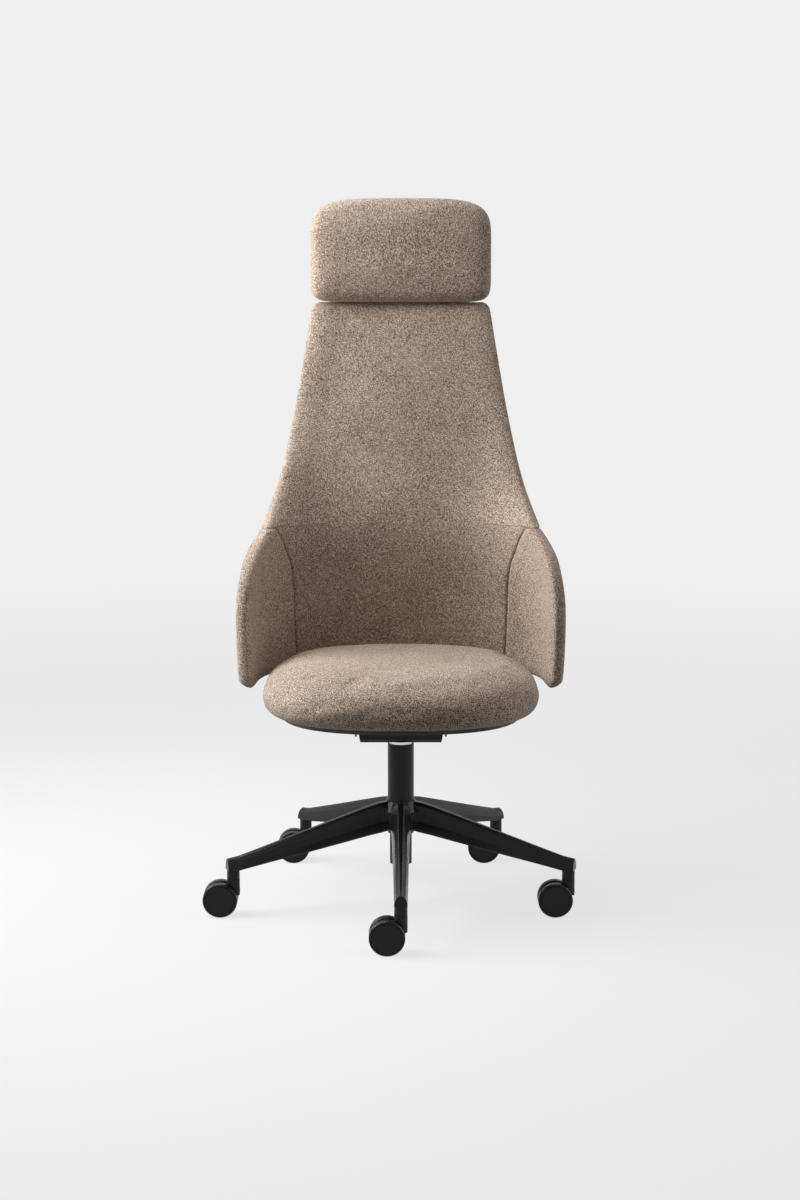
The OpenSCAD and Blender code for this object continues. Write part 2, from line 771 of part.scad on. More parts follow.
module axle_clips() {
    color("gray") {
        axle_clip(plate_w / 2 + gap, -front_axle_y, front_axle_z, front_axle_d);
        axle_clip(-plate_w / 2 - gap - clip_w, -front_axle_y, front_axle_z, front_axle_d);
        axle_clip(housing_w / 2, main_axle_y, main_axle_z, main_axle_d);
        axle_clip(-housing_w / 2 - clip_w, main_axle_y, main_axle_z, main_axle_d);
    }
}

// One half of the recline spring: its turns about the main axle, then a
// straight leg down to the spring seat
function spring_line(s) =
    let (n = spring_turns * spring_steps)
    concat(
        [for (i = [0:n]) let (a = spring_leg_angle + 360 * i / spring_steps)
            [s * (spring_in + spring_wire_d / 2 + spring_pitch * i / spring_steps),
                main_axle_y - spring_r * sin(a), main_axle_z + spring_r * cos(a)]],
        [[s * (spring_in + spring_wire_d / 2 + spring_pitch * spring_turns), spring_bar_y,
            housing_z + housing_wall + seat_bar_h + gap + spring_wire_d / 2]]);

function unit(v) = v / norm(v);

// Rings square to a line of points, for a wire along it
function wire_rings(line, d, sides) =
    [for (i = [0:len(line) - 1])
        let (t = unit(line[min(i + 1, len(line) - 1)] - line[max(i - 1, 0)]),
            e = unit(cross(t, [1, 0, 0.001])), f = cross(t, e))
        [for (j = [0:sides - 1]) line[i]
            + d / 2 * (cos(360 * j / sides) * e + sin(360 * j / sides) * f)]];

module recline_spring() {
    color("slategray") for (s = [-1, 1])
        skin(wire_rings(spring_line(s), spring_wire_d, spring_sides));
}

module spring_seat() {
    low = housing_z + housing_wall;
    color("gray") difference() {
        box([-seat_bar_w / 2, spring_bar_y - seat_bar_l / 2, low],
            [seat_bar_w / 2, spring_bar_y + seat_bar_l / 2, low + seat_bar_h]);
        translate([0, 0, 0]) cylinder(d = socket_boss_d + 2 * gap, h = low + 2 * seat_bar_h);
        for (s = [-1, 1]) translate([s * seat_bar_w / 3, spring_bar_y, 0])
            cylinder(d = screw_d + 2 * seated, h = low + 2 * seat_bar_h);
    }
}

// Screw along Z with its head down, from the head's underside up
module screw_up(x, y, z_head, length) {
    translate([x, y, z_head]) cylinder(d = screw_head_d, h = screw_head_h);
    translate([x, y, z_head + screw_head_h]) cylinder(d = screw_d, h = length);
}

module preload_screws() {
    color("dimgray") for (s = [-1, 1])
        screw_up(s * seat_bar_w / 3, spring_bar_y, housing_z - screw_head_h,
            housing_wall + seat_bar_h);
}

module lever_pivot_pin() {
    half = lever_w / 2 + gap + lug_t;
    color("silver") translate([lever_pivot_x, half, lever_z + lever_t / 2]) rotate([90, 0, 0])
        cylinder(d = lever_pivot_d, h = 2 * half);
}

// Seat height lever: its inner end lies on the release button
module height_lever() {
    high = lever_z + lever_t;
    color([0.1, 0.1, 0.1]) difference() {
        union() {
            slab_y(-lever_w / 2, lever_w / 2, [[-valve_d / 2, lever_z], [lever_drop_x, lever_z],
                [lever_drop_x, lever_out_z], [height_lever_x - lever_paddle_l / 2, lever_out_z],
                [height_lever_x - lever_paddle_l / 2, lever_out_z + lever_out_t],
                [lever_drop_x + lever_t, lever_out_z + lever_out_t],
                [lever_drop_x + lever_t, high], [-valve_d / 2, high]]);
            paddle(height_lever_x, 0, 1);
        }
        translate([lever_pivot_x, lever_w, lever_z + lever_t / 2]) rotate([90, 0, 0])
            cylinder(d = lever_pivot_d + 2 * running, h = 2 * lever_w);
    }
}

// Flat grip at the outer end of a lever, rounded in plan
module paddle(x_end, y, s) {
    r = lever_paddle_w / 2;
    translate([0, y, lever_out_z]) linear_extrude(lever_out_t) union() {
        translate([s * (x_end - r), 0]) circle(d = lever_paddle_w);
        translate([s * (x_end - lever_paddle_l), 0]) circle(d = lever_w * 1.4);
        polygon([[s * (x_end - r), r], [s * (x_end - lever_paddle_l), lever_w * 0.7],
            [s * (x_end - lever_paddle_l), -lever_w * 0.7], [s * (x_end - r), -r]]);
    }
}

// Tilt lock lever: pushed in, its pin enters a hole of the back carrier
module lock_lever() {
    color([0.1, 0.1, 0.1]) {
        bar_x(lock_pin_d, -lock_knee_x + lever_t / 2, -lock_tip_x, lock_y, main_axle_z);
        box([-lock_knee_x, lock_y - lever_w / 2, lever_out_z],
            [-lock_knee_x + lever_t, lock_y + lever_w / 2, main_axle_z + lever_w / 2]);
        box([-lock_lever_x + lever_paddle_l / 2, lock_y - lever_w / 2, lever_out_z],
            [-lock_knee_x + lever_t / 2, lock_y + lever_w / 2, lever_out_z + lever_out_t]);
        paddle(lock_lever_x, lock_y, -1);
    }
}

// Seat
function seat_ring(z, inset, fall) =
    [for (i = [0:seat_points - 1]) let (a = 360 * i / seat_points,
        x = (seat_w / 2 - inset) * spow(cos(a), 2 / seat_power),
        y = (seat_l / 2 - inset) * spow(sin(a), 2 / seat_power))
        [x, seat_centre_y + y, z - fall * pow(max(-y / seat_l * 2, 0), 2)]];

module seat_prism(inset, z_low, z_high) {
    skin([seat_ring(z_low, inset, 0), seat_ring(z_high, inset, 0)]);
}

module seat_cushion() {
    color([0.55, 0.47, 0.4]) difference() {
        skin([for (p = seat_profile_shares)
            seat_ring(seat_bottom_z + p[0] * seat_t, p[1] * seat_w / 2, p[0] * seat_front_fall)]);
        seat_prism(recess_inset, seat_bottom_z - overrun, board_z + board_t + gap);
    }
}

module seat_board() {
    color("burlywood") difference() {
        seat_prism(board_inset, board_z, board_z + board_t);
        seat_screw_places() cylinder(d = screw_d + 2 * seated, h = 2 * plate_z);
    }
}

module seat_screw_places() {
    for (x = [-1, 1]) for (y = [-1, 1])
        translate([x * seat_screw_x, y * seat_screw_y, 0]) children();
}

module seat_screws() {
    color("dimgray") for (x = [-1, 1]) for (y = [-1, 1])
        screw_up(x * seat_screw_x, y * seat_screw_y, plate_z - screw_head_h, plate_t + gap + board_t);
}

module seat_pan() {
    rim_z = board_z - gap;
    color([0.07, 0.07, 0.075]) difference() {
        skin([seat_ring(pan_z, pan_foot_inset, 0), seat_ring(pan_knee_z, pan_knee_inset, 0),
            seat_ring(seat_bottom_z, pan_inset, 0), seat_ring(rim_z, pan_inset, 0)]);
        skin([seat_ring(pan_z + pan_wall, pan_foot_inset + pan_wall, 0),
            seat_ring(pan_knee_z + pan_wall, pan_knee_inset + pan_wall, 0),
            seat_ring(rim_z + overrun, pan_inset + pan_wall, 0)]);
        box([-channel_w / 2, -channel_front, pan_z - overrun],
            [channel_w / 2, seat_l, rim_z + overrun]);
    }
}

// Ear of the seat plate around a cross pin
module ear(x_low, x_high, y, z, r) {
    slab_x(x_low, x_high, [[y - r, z], [y + r, z], [y + r * 1.5, plate_z + plate_t],
        [y - r * 1.5, plate_z + plate_t]]);
    bar_x(2 * r, x_low, x_high, y, z);
}

module seat_plate() {
    link_z = main_axle_z;
    color([0.12, 0.12, 0.12]) difference() {
        union() {
            box([-plate_w / 2, -plate_front, plate_z], [plate_w / 2, plate_rear, plate_z + plate_t]);
            for (s = [-1, 1]) ear(s > 0 ? plate_w / 2 - ear_t : -plate_w / 2,
                s > 0 ? plate_w / 2 : -plate_w / 2 + ear_t, -front_axle_y, front_axle_z, ear_r);
            for (s = [-1, 1]) ear(s > 0 ? link_ear_x : -link_ear_x - link_ear_t,
                s > 0 ? link_ear_x + link_ear_t : -link_ear_x, link_y, link_z, ear_r);
        }
        bar_x(front_axle_d + 2 * running, -plate_w, plate_w, -front_axle_y, front_axle_z);
        bar_x(link_slot_h, -plate_w, plate_w, link_y - (link_slot_l - link_slot_h) / 2, link_z);
        bar_x(link_slot_h, -plate_w, plate_w, link_y + (link_slot_l - link_slot_h) / 2, link_z);
        box([-plate_w, link_y - (link_slot_l - link_slot_h) / 2, link_z - link_slot_h / 2],
            [plate_w, link_y + (link_slot_l - link_slot_h) / 2, link_z + link_slot_h / 2]);
        translate([0, 0, plate_z - overrun])
            cylinder(d = plate_window_d, h = plate_t + 2 * overrun);
        seat_screw_places() cylinder(d = screw_d + 2 * seated, h = 2 * plate_z);
    }
}

// Back carrier, which turns on the main axle and holds the back bracket
module back_carrier() {
    color([0.09, 0.09, 0.095]) difference() {
        union() {
            for (s = [-1, 1]) {
                low = s > 0 ? carrier_inner : -carrier_half_w;
                high = s > 0 ? carrier_half_w : -carrier_inner;
                bar_x(carrier_hub_d, low, high, main_axle_y, main_axle_z);
                box([low, main_axle_y, main_axle_z - carrier_t / 2],
                    [high, carrier_rear_y, main_axle_z + carrier_t / 2]);
            }
            box([-carrier_half_w, housing_rear, main_axle_z - carrier_t / 2],
                [carrier_half_w, carrier_rear_y, main_axle_z + carrier_t / 2]);
            bar_x(link_boss_d, -carrier_half_w, carrier_half_w, link_y, main_axle_z);
            slab_x(-carrier_half_w, -carrier_half_w + lock_plate_t, lock_sector());
        }
        bar_x(main_axle_d + 2 * running, -housing_w, housing_w, main_axle_y, main_axle_z);
        bar_x(link_pin_d + 2 * seated, -housing_w, housing_w, link_y, main_axle_z);
        for (a = [0, lock_angle]) bar_x(lock_pin_d + 2 * gap, -housing_w, -carrier_inner,
            main_axle_y - (main_axle_y - lock_y) * cos(a),
            main_axle_z - (main_axle_y - lock_y) * sin(a));
        bracket_screw_places() cylinder(d = screw_d + 2 * seated, h = 2 * main_axle_z);
        box([-bracket_w / 2 - gap, link_y - link_boss_d, bracket_in_z - overrun],
            [bracket_w / 2 + gap, link_y + link_boss_d, bracket_in_z + bracket_t + gap]);
    }
}

// Outline of the plate with the two lock holes
function lock_sector() =
    concat([[main_axle_y, main_axle_z - carrier_hub_d / 2],
            [main_axle_y, main_axle_z + carrier_hub_d / 2]],
        [for (t = lock_rim_shares) [main_axle_y - lock_plate_r * cos(t * lock_angle),
            main_axle_z - lock_plate_r * sin(t * lock_angle)]]);

module link_pin() {
    half = link_ear_x + link_ear_t + 2 * gap;
    color("silver") bar_x(link_pin_d, -half, half, link_y, main_axle_z);
}

module bracket_screw_places() {
    for (x = [-1, 1]) for (y = [0, 1])
        translate([x * bracket_screw_x, bracket_screw_y + y * bracket_screw_step, 0]) children();
}

// Back shell
// Half width, rim, middle and turn of the shell at a height
function shell_s(z) = (z - shell_bottom_z) / shell_h;
function shell_half(z) = along(shell_level_shares, shell_s(z), 1) * shell_w;
function shell_rim(z) = along(shell_level_shares, shell_s(z), 2) * shell_depth;
function shell_mid(z) = along(shell_level_shares, shell_s(z), 3) * shell_depth;
function shell_turn(z) = min(along(shell_level_shares, shell_s(z), 4), 1) * 90;
// How far the rounded lower and upper edges draw the surface in
function edge_round(z) =
    let (d = min(z - shell_bottom_z, shell_top_z - z))
    d >= roll_r ? 0 : roll_r - sqrt(max(roll_r * roll_r - (roll_r - d) * (roll_r - d), 0));
function shell_t(u) = rim_t + (spine_t - rim_t) * pow(max(1 - u * u, 0), 2);

// Half lengths of the superellipse that the front face follows at a height
function arc_share(angle) = pow(angle, 2 / shell_power);
function shell_b(z) = (shell_mid(z) - shell_rim(z)) / (1 - arc_share(cos(shell_turn(z))));
function shell_a(z) =
    let (m = shell_turn(z), b = shell_b(z), a = (shell_half(z) - roll_r) / arc_share(sin(m)),
        nx = pow(arc_share(sin(m)), shell_power - 1) / a,
        ny = pow(arc_share(cos(m)), shell_power - 1) / b)
    a - roll_r * nx / sqrt(nx * nx + ny * ny) / arc_share(sin(m));

// Place on the front face at height z, a share u of the way round from the
// middle to the rim, with the direction from the front face to the rear one
function shell_face(z, u) =
    let (a = shell_a(z), b = shell_b(z), m = shell_turn(z) * abs(u),
        x = arc_share(sin(m)), y = arc_share(cos(m)),
        nx = pow(x, shell_power - 1) / a, ny = pow(y, shell_power - 1) / b, q = sqrt(nx * nx + ny * ny))
    [sign(u) * a * x, shell_mid(z) - b + b * y, sign(u) * nx / q, ny / q];

// Point of the shell a depth d behind its front face
function shell_point(z, u, d) =
    let (f = shell_face(z, u)) [f[0] + d * f[2], f[1] + d * f[3], z];

// Point on the rolled rim, from the front face round to the rear one, no
// deeper than a given depth
function roll_point(z, side, k, deepest = rim_t) =
    let (f = shell_face(z, side), t = roll_angle * (k + 0.5) / roll_points, r = roll_r - edge_round(z),
        c = min(roll_r - r * cos(t), deepest))
    [f[0] + c * f[2] + side * r * sin(t) * f[3], f[1] + c * f[3] - side * r * sin(t) * f[2], z];

// Share of the way round at which the seam lies at a height
function seam_u(z) = straight(seam_shares, (z - shell_bottom_z) / (wing_top_z - shell_bottom_z), 1);
// How far a seam draws the front face in, at a share t of the panel's width
function seam_pull(t) = seam_groove * pow(t, seam_power);
function denser(t) = 1 - pow(1 - t, front_power);

// Shares of the way round at which the layers bend at a height, from one
// edge to the other
function layer_side(z) =
    let (us = seam_u(z))
    concat([for (t = inner_shares) us * t], [for (t = outer_shares) us + (layer_edge_share - us) * t]);
function layer_line(z) =
    let (l = layer_side(z)) concat([for (i = [len(l) - 1:-1:1]) -l[i]], l);

// Heights at which all layers of the shell bend
wing_levels = [for (a = wing_level_shares) shell_bottom_z + a * (wing_top_z - gap - shell_bottom_z)];
high_levels = [for (a = high_level_shares) shell_bottom_z + a * shell_h];
foot_levels = [wing_top_z + gap, wing_top_z + 2 * gap];
layer_levels = concat([core_bottom_z], wing_levels, foot_levels, high_levels, [core_top_z - gap]);

// Heights of the levels of the middle pad, from the bottom up
middle_levels = concat(
    [for (a = edge_level_shares) shell_bottom_z + a * roll_r],
    [core_bottom_z], wing_levels, foot_levels, high_levels,
    [core_top_z + gap, core_top_z + 2 * gap],
    [for (i = [len(edge_level_shares) - 1:-1:0]) shell_top_z - edge_level_shares[i] * roll_r]);

// Ring of the middle pad: its front face, its sides or rolled rims, and its
// rear face, which reaches right through the shell above the core
function middle_ring(z) =
    let (e = edge_round(z), high = z > wing_top_z, over = z > core_top_z + 1.5 * gap,
        us = high ? 1 : seam_u(z) - gap / shell_half(z), ub = high ? seam_u(z) : us,
        n = len(inner_shares) - 1, left = middle_side(z, -1, high, over, us), m = len(left))
    concat(
        [for (i = [m / 2:m - 1]) left[i]],
        [for (i = [-n:n]) let (t = abs(i) / n)
            shell_point(z, sign(i) * us * denser(t), e + (high ? 0 : seam_pull(t)))],
        middle_side(z, 1, high, over, us),
        [for (i = [n:-1:-n]) let (t = ub * sign(i) * inner_shares[abs(i)])
            shell_point(z, t, over ? shell_t(t) - e : pad_t)],
        [for (i = [0:m / 2 - 1]) left[i]]);

// Points between the front and rear faces on one side of the middle pad. Its
// foot on the wing stays in front of the layers and so clears their edge.
function middle_side(z, s, high, over, us) =
    let (e = edge_round(z), n = roll_points, foot = z < wing_top_z + 1.5 * gap,
        deep = foot ? pad_t : rim_t - e,
        heel = foot ? (stub_edge_share + layer_edge_share) / 2 : over ? layer_edge_share : stub_edge_share,
        list = high
            ? concat([for (k = [0:n - 1]) roll_point(z, s, k, deep)],
                [shell_point(z, s, deep), shell_point(z, s * stub_edge_share, deep),
                    shell_point(z, s * heel, over ? rim_t - e : pad_t)])
            : [for (k = [1:n + 3]) shell_point(z, s * us,
                e + seam_groove + (pad_t - e - seam_groove) * k / (n + 4))])
    s > 0 ? list : [for (i = [len(list) - 1:-1:0]) list[i]];

module back_pad() {
    color([0.56, 0.48, 0.41]) difference() {
        skin([for (z = middle_levels) middle_ring(z)]);
        stem_slot();
    }
}

// Ring of a wing pad: its front face from the seam to the rim, the rolled
// rim, and its rear face
function wing_ring(z, s) =
    let (e = edge_round(z), us = seam_u(z) + gap / shell_half(z),
        low = z < core_bottom_z - gap, depth = low ? rim_t - e : pad_t,
        stub = stub_edge_at(us), reach = layer_edge_share - us)
    concat(
        [for (i = [0:wing_side_points]) let (t = i / wing_side_points)
            shell_point(z, s * (us + (1 - us) * (1 - denser(1 - t))), e + seam_pull(1 - t))],
        [for (k = [0:roll_points - 1]) roll_point(z, s, k)],
        [shell_point(z, s, rim_t - e), shell_point(z, s * stub, rim_t - e),
            shell_point(z, s * (low ? (stub + layer_edge_share) / 2 : stub), depth)],
        [for (i = [len(outer_shares) - 1:-1:0])
            shell_point(z, s * (us + reach * outer_shares[i]), depth)],
        [shell_point(z, s * us, depth)]);

function stub_edge_at(us) = max(stub_edge_share, us + (1 - us) * stub_share);

module wing_pad(s) {
    levels = concat([for (a = edge_level_shares) shell_bottom_z + a * roll_r],
        [core_bottom_z - 2 * gap, core_bottom_z], wing_levels);
    color([0.56, 0.48, 0.41]) skin([for (z = levels) s > 0 ? wing_ring(z, s)
        : [for (i = [len(wing_ring(z, s)) - 1:-1:0]) wing_ring(z, s)[i]]]);
}

module wing_pad_left() { wing_pad(-1); }
module wing_pad_right() { wing_pad(1); }

// Load-bearing core behind the front upholstery
function core_ring(z) =
    let (l = layer_line(z))
    concat([for (u = l) shell_point(z, u, pad_t + gap)],
        [for (i = [len(l) - 1:-1:0]) shell_point(z, l[i], pad_t + gap + core_t)]);

module core_shell() {
    color([0.35, 0.28, 0.2]) skin([for (z = layer_levels) core_ring(z)], true);
}

// Rear cover, which leaves a space at the middle for the bracket and guide
function cover_near(u) = max(shell_t(u) - cover_t, pad_t + core_t + 2 * gap);
function cover_ring(z) =
    let (l = layer_line(z))
    concat([for (u = l) shell_point(z, u, cover_near(u))],
        [for (i = [len(l) - 1:-1:0]) shell_point(z, l[i], shell_t(l[i]))]);

module back_cover() {
    color([0.52, 0.45, 0.38]) skin([for (z = layer_levels) cover_ring(z)]);
}

// Rear face of the core at the middle of the shell, which the bracket and
// the headrest's stem lie against
function core_back(z) = shell_mid(z) + pad_t + core_t + 2 * gap;

bracket_levels = [for (i = [0:6]) core_bottom_z + i * (bracket_top_z - core_bottom_z) / 6];

module back_bracket() {
    low = bracket_in_z;
    near = core_back(core_bottom_z) + gap;
    color([0.06, 0.06, 0.065]) difference() {
        slab_x(-bracket_w / 2, bracket_w / 2, concat(
            [[bracket_front_y, low], [near + bracket_t - bracket_bend, low],
                [near + bracket_t, low + bracket_bend]],
            [for (z = bracket_levels) [core_back(z) + gap + bracket_t, z]],
            [for (i = [6:-1:0]) [core_back(bracket_levels[i]) + gap, bracket_levels[i]]],
            [[near, low + bracket_bend + bracket_t / 2],
                [near + bracket_t / 2 - bracket_bend, low + bracket_t],
                [bracket_front_y, low + bracket_t]]));
        bracket_screw_places() cylinder(d = screw_d + 2 * seated, h = 2 * main_axle_z);
        shell_screw_places() cylinder(d = screw_d + 2 * seated, h = shell_depth);
    }
}

// Screws through the bracket into the core shell
module shell_screw_places() {
    for (x = [-1, 1]) for (k = [0, 1])
        translate([x * bracket_screw_x, 0, shell_screw_z + k * shell_screw_rise])
            rotate([-90, 0, 0]) children();
}

module bracket_screws() {
    low = bracket_in_z - screw_head_h;
    color("dimgray") {
        for (x = [-1, 1]) for (y = [0, 1])
            screw_up(x * bracket_screw_x, bracket_screw_y + y * bracket_screw_step, low,
                bracket_t + gap + carrier_t);
    }
}

// Headrest
slope = (shell_mid(slope_high_z) - shell_mid(slope_low_z)) / (slope_high_z - slope_low_z);
function stem_y(z) = core_back(slope_high_z) + gap + (z - slope_high_z) * slope;

module stem_slot() {
    slab_x(-headrest_stem_w / 2 - gap, headrest_stem_w / 2 + gap,
        stem_band(guide_z, headrest_z, gap, 0));
}

module headrest_stem() {
    knee = headrest_z + headrest_stem_t;
    color("silver") slab_x(-headrest_stem_w / 2, headrest_stem_w / 2,
        [[stem_y(stem_low_z), stem_low_z], [stem_y(knee), knee], [stem_y(knee), stem_high_z],
            [stem_y(knee) + headrest_stem_t, stem_high_z], [stem_y(knee) + headrest_stem_t, knee],
            [stem_y(stem_low_z) + headrest_stem_t, stem_low_z]]);
}

module headrest_guide() {
    half = headrest_stem_w / 2 + gap;
    high = guide_z + guide_h;
    color("dimgray") difference() {
        slab_x(-half - guide_wall, half + guide_wall, stem_band(guide_z, high, gap / 2, guide_wall));
        slab_x(-half, half, stem_band(guide_z - overrun, high + overrun, overrun, 0));
    }
}

// Outline along the stem between two heights, from a distance in front of
// it to its rear face and a wall behind that
function stem_band(z_low, z_high, front, wall) =
    [[stem_y(z_low) - front, z_low], [stem_y(z_high) - front, z_high],
        [stem_y(z_high) + headrest_stem_t + gap + wall, z_high],
        [stem_y(z_low) + headrest_stem_t + gap + wall, z_low]];

// Rounded outline of the headrest, drawn in by an inset
function corner(x, z, r, start) =
    [for (i = [0:headrest_points]) let (a = start + quarter * i / headrest_points)
        [x + r * cos(a), z + r * sin(a)]];
function headrest_outline(inset) =
    let (half = headrest_w / 2 - inset, low = headrest_z + inset,
        high = headrest_z + headrest_h - inset, rt = headrest_top_r - inset * 0.4,
        rb = headrest_bottom_r - inset * 0.2)
    [for (p = concat(corner(half - rb, low + rb, rb, -quarter), corner(half - rt, high - rt, rt, 0),
            [for (t = headrest_top_shares) [t * (half - rt), high]],
            corner(-half + rt, high - rt, rt, quarter), corner(-half + rb, low + rb, rb, 2 * quarter)))
        [p[0], p[1] - headrest_crown * pow(p[0] / half, 2) * (p[1] > (low + high) / 2 ? 1 : 0)]];

module headrest_cushion() {
    color([0.57, 0.49, 0.42]) difference() {
        skin([for (i = [len(headrest_profile_shares) - 1:-1:0])
            let (p = headrest_profile_shares[i])
            [for (q = headrest_outline(p[1] * headrest_t))
                [q[0], headrest_front_y + p[0] * headrest_t, q[1]]]]);
        headrest_pocket(gap);
        headrest_stem_pocket();
    }
}

headrest_core_y = stem_y(headrest_z + headrest_stem_t) - gap - headrest_core_t;

module headrest_pocket(extra) {
    box([-headrest_core_w / 2 - extra, headrest_core_y - extra, headrest_core_z - extra],
        [headrest_core_w / 2 + extra, headrest_core_y + headrest_core_t + extra,
            headrest_core_z + headrest_core_h + extra]);
}

module headrest_stem_pocket() {
    half = headrest_stem_w / 2 + gap;
    low = headrest_z - overrun;
    box([-half, stem_y(headrest_z) - 2 * gap, low],
        [half, stem_y(headrest_z + headrest_stem_t) + headrest_stem_t + gap, stem_high_z + gap]);
}

module headrest_core() {
    color("burlywood") headrest_pocket(0);
}

// Casters, whose axles all point the same way
module at_caster(k) {
    a = -90 + (k - 1) * leg_step;
    translate([stem_circle_r * cos(a), stem_circle_r * sin(a), 0]) children();
}

module wheel_space(d) {
    for (s = [-1, 1]) translate([-caster_trail, s * (web_t / 2), wheel_d / 2])
        rotate([s > 0 ? -90 : 90, 0, 0]) cylinder(d = d, h = wheel_d);
}

module caster_housing(k) {
    color([0.07, 0.07, 0.075]) at_caster(k) difference() {
        union() {
            translate([0, 0, neck_low_z]) cylinder(d = neck_d, h = neck_top_z - neck_low_z);
            slab_y(-web_t / 2, web_t / 2, [[-caster_trail, wheel_d / 2 - neck_d / 2],
                [neck_d / 4, neck_low_z], [neck_d / 2, neck_low_z + neck_d / 6],
                [neck_d / 2, neck_low_z + neck_d / 2], [neck_d / 2 - caster_trail, wheel_d - tread_t],
                [-caster_trail, wheel_d / 2 + neck_d / 2]]);
            translate([-caster_trail, web_t / 2, wheel_d / 2]) rotate([90, 0, 0])
                cylinder(d = neck_d, h = web_t);
        }
        wheel_space(wheel_d + 2 * wheel_play);
        translate([-caster_trail, neck_d, wheel_d / 2]) rotate([90, 0, 0])
            cylinder(d = wheel_axle_d + 2 * seated, h = 2 * neck_d);
        translate([0, 0, stem_low]) cylinder(d = stem_d + 2 * seated, h = socket_z);
    }
}

module caster_pins(k) {
    half = web_t / 2 + wheel_hollow + caster_gap;
    color("silver") at_caster(k) {
        translate([0, 0, stem_low])
            cylinder(d = stem_d, h = socket_z + socket_depth - stem_end_gap - stem_low);
        translate([-caster_trail, half, wheel_d / 2]) rotate([90, 0, 0])
            cylinder(d = wheel_axle_d, h = 2 * half);
    }
}

// Wheel drawn as a half section: radius, and distance from the caster's
// middle plane
module caster_wheel(k, s) {
    near = wheel_gap / 2;
    far = near + wheel_w;
    r = wheel_d / 2;
    rt = r - tread_t;
    bore = wheel_axle_d / 2 + running;
    rg = wheel_groove_d / 2;
    floor_y = near + wheel_hollow;
    at_caster(k) translate([-caster_trail, 0, wheel_d / 2]) rotate([s > 0 ? -90 : 90, 0, 0]) {
        color([0.09, 0.09, 0.095]) rotate_extrude() polygon([[bore, near], [wheel_hub_d / 2, near],
            [wheel_hub_d / 2, floor_y], [rt - tread_t, floor_y], [rt - tread_t, near], [rt, near],
            [rt, far - wheel_round / 2], [rg, far], [rg, far - wheel_groove_depth],
            [rg - wheel_groove_w, far - wheel_groove_depth], [rg - wheel_groove_w, far],
            [0, far], [0, floor_y + wheel_round / 2], [bore, floor_y + wheel_round / 2]]);
        color([0.03, 0.03, 0.03]) rotate_extrude() polygon([[rt + seated, near],
            [r - wheel_round / 2, near], [r, near + wheel_round], [r, far - wheel_round],
            [r - wheel_round / 2, far - wheel_round / 4], [rt + seated, far - wheel_round / 2]]);
    }
}

star_base();
column_tube();
guide_bush();
column_collar();
thrust_bearing();
retaining_clip();
socket_sleeves();
piston_rod();
piston();
rubber_buffer();
gas_cylinder();
release_button();
mechanism_housing();
front_axle();
main_axle();
axle_clips();
recline_spring();
spring_seat();
preload_screws();
lever_pivot_pin();
height_lever();
lock_lever();
seat_plate();
seat_board();
seat_pan();
seat_cushion();
seat_screws();
back_carrier();
link_pin();
back_bracket();
bracket_screws();
core_shell();
back_pad();
wing_pad_left();
wing_pad_right();
back_cover();
headrest_guide();
headrest_stem();
headrest_core();
headrest_cushion();
for (k = [1:leg_count]) caster_housing(k);
for (k = [1:leg_count]) caster_pins(k);
for (k = [1:leg_count]) caster_wheel(k, -1);
for (k = [1:leg_count]) caster_wheel(k, 1);
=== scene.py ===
import math

import bmesh
import bpy
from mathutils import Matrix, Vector


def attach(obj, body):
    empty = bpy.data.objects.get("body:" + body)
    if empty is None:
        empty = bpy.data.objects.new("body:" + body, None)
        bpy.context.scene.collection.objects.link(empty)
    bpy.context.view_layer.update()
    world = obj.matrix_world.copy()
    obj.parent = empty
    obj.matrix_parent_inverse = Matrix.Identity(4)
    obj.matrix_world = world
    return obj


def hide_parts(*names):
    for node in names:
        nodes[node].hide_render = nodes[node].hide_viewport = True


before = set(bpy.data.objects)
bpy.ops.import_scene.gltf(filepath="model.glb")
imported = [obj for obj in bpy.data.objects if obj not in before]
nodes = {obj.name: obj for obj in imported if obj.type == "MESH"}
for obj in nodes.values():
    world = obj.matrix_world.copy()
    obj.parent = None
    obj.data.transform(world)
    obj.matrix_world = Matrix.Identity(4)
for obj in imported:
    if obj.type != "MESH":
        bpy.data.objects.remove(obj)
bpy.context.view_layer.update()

mm = 0.001

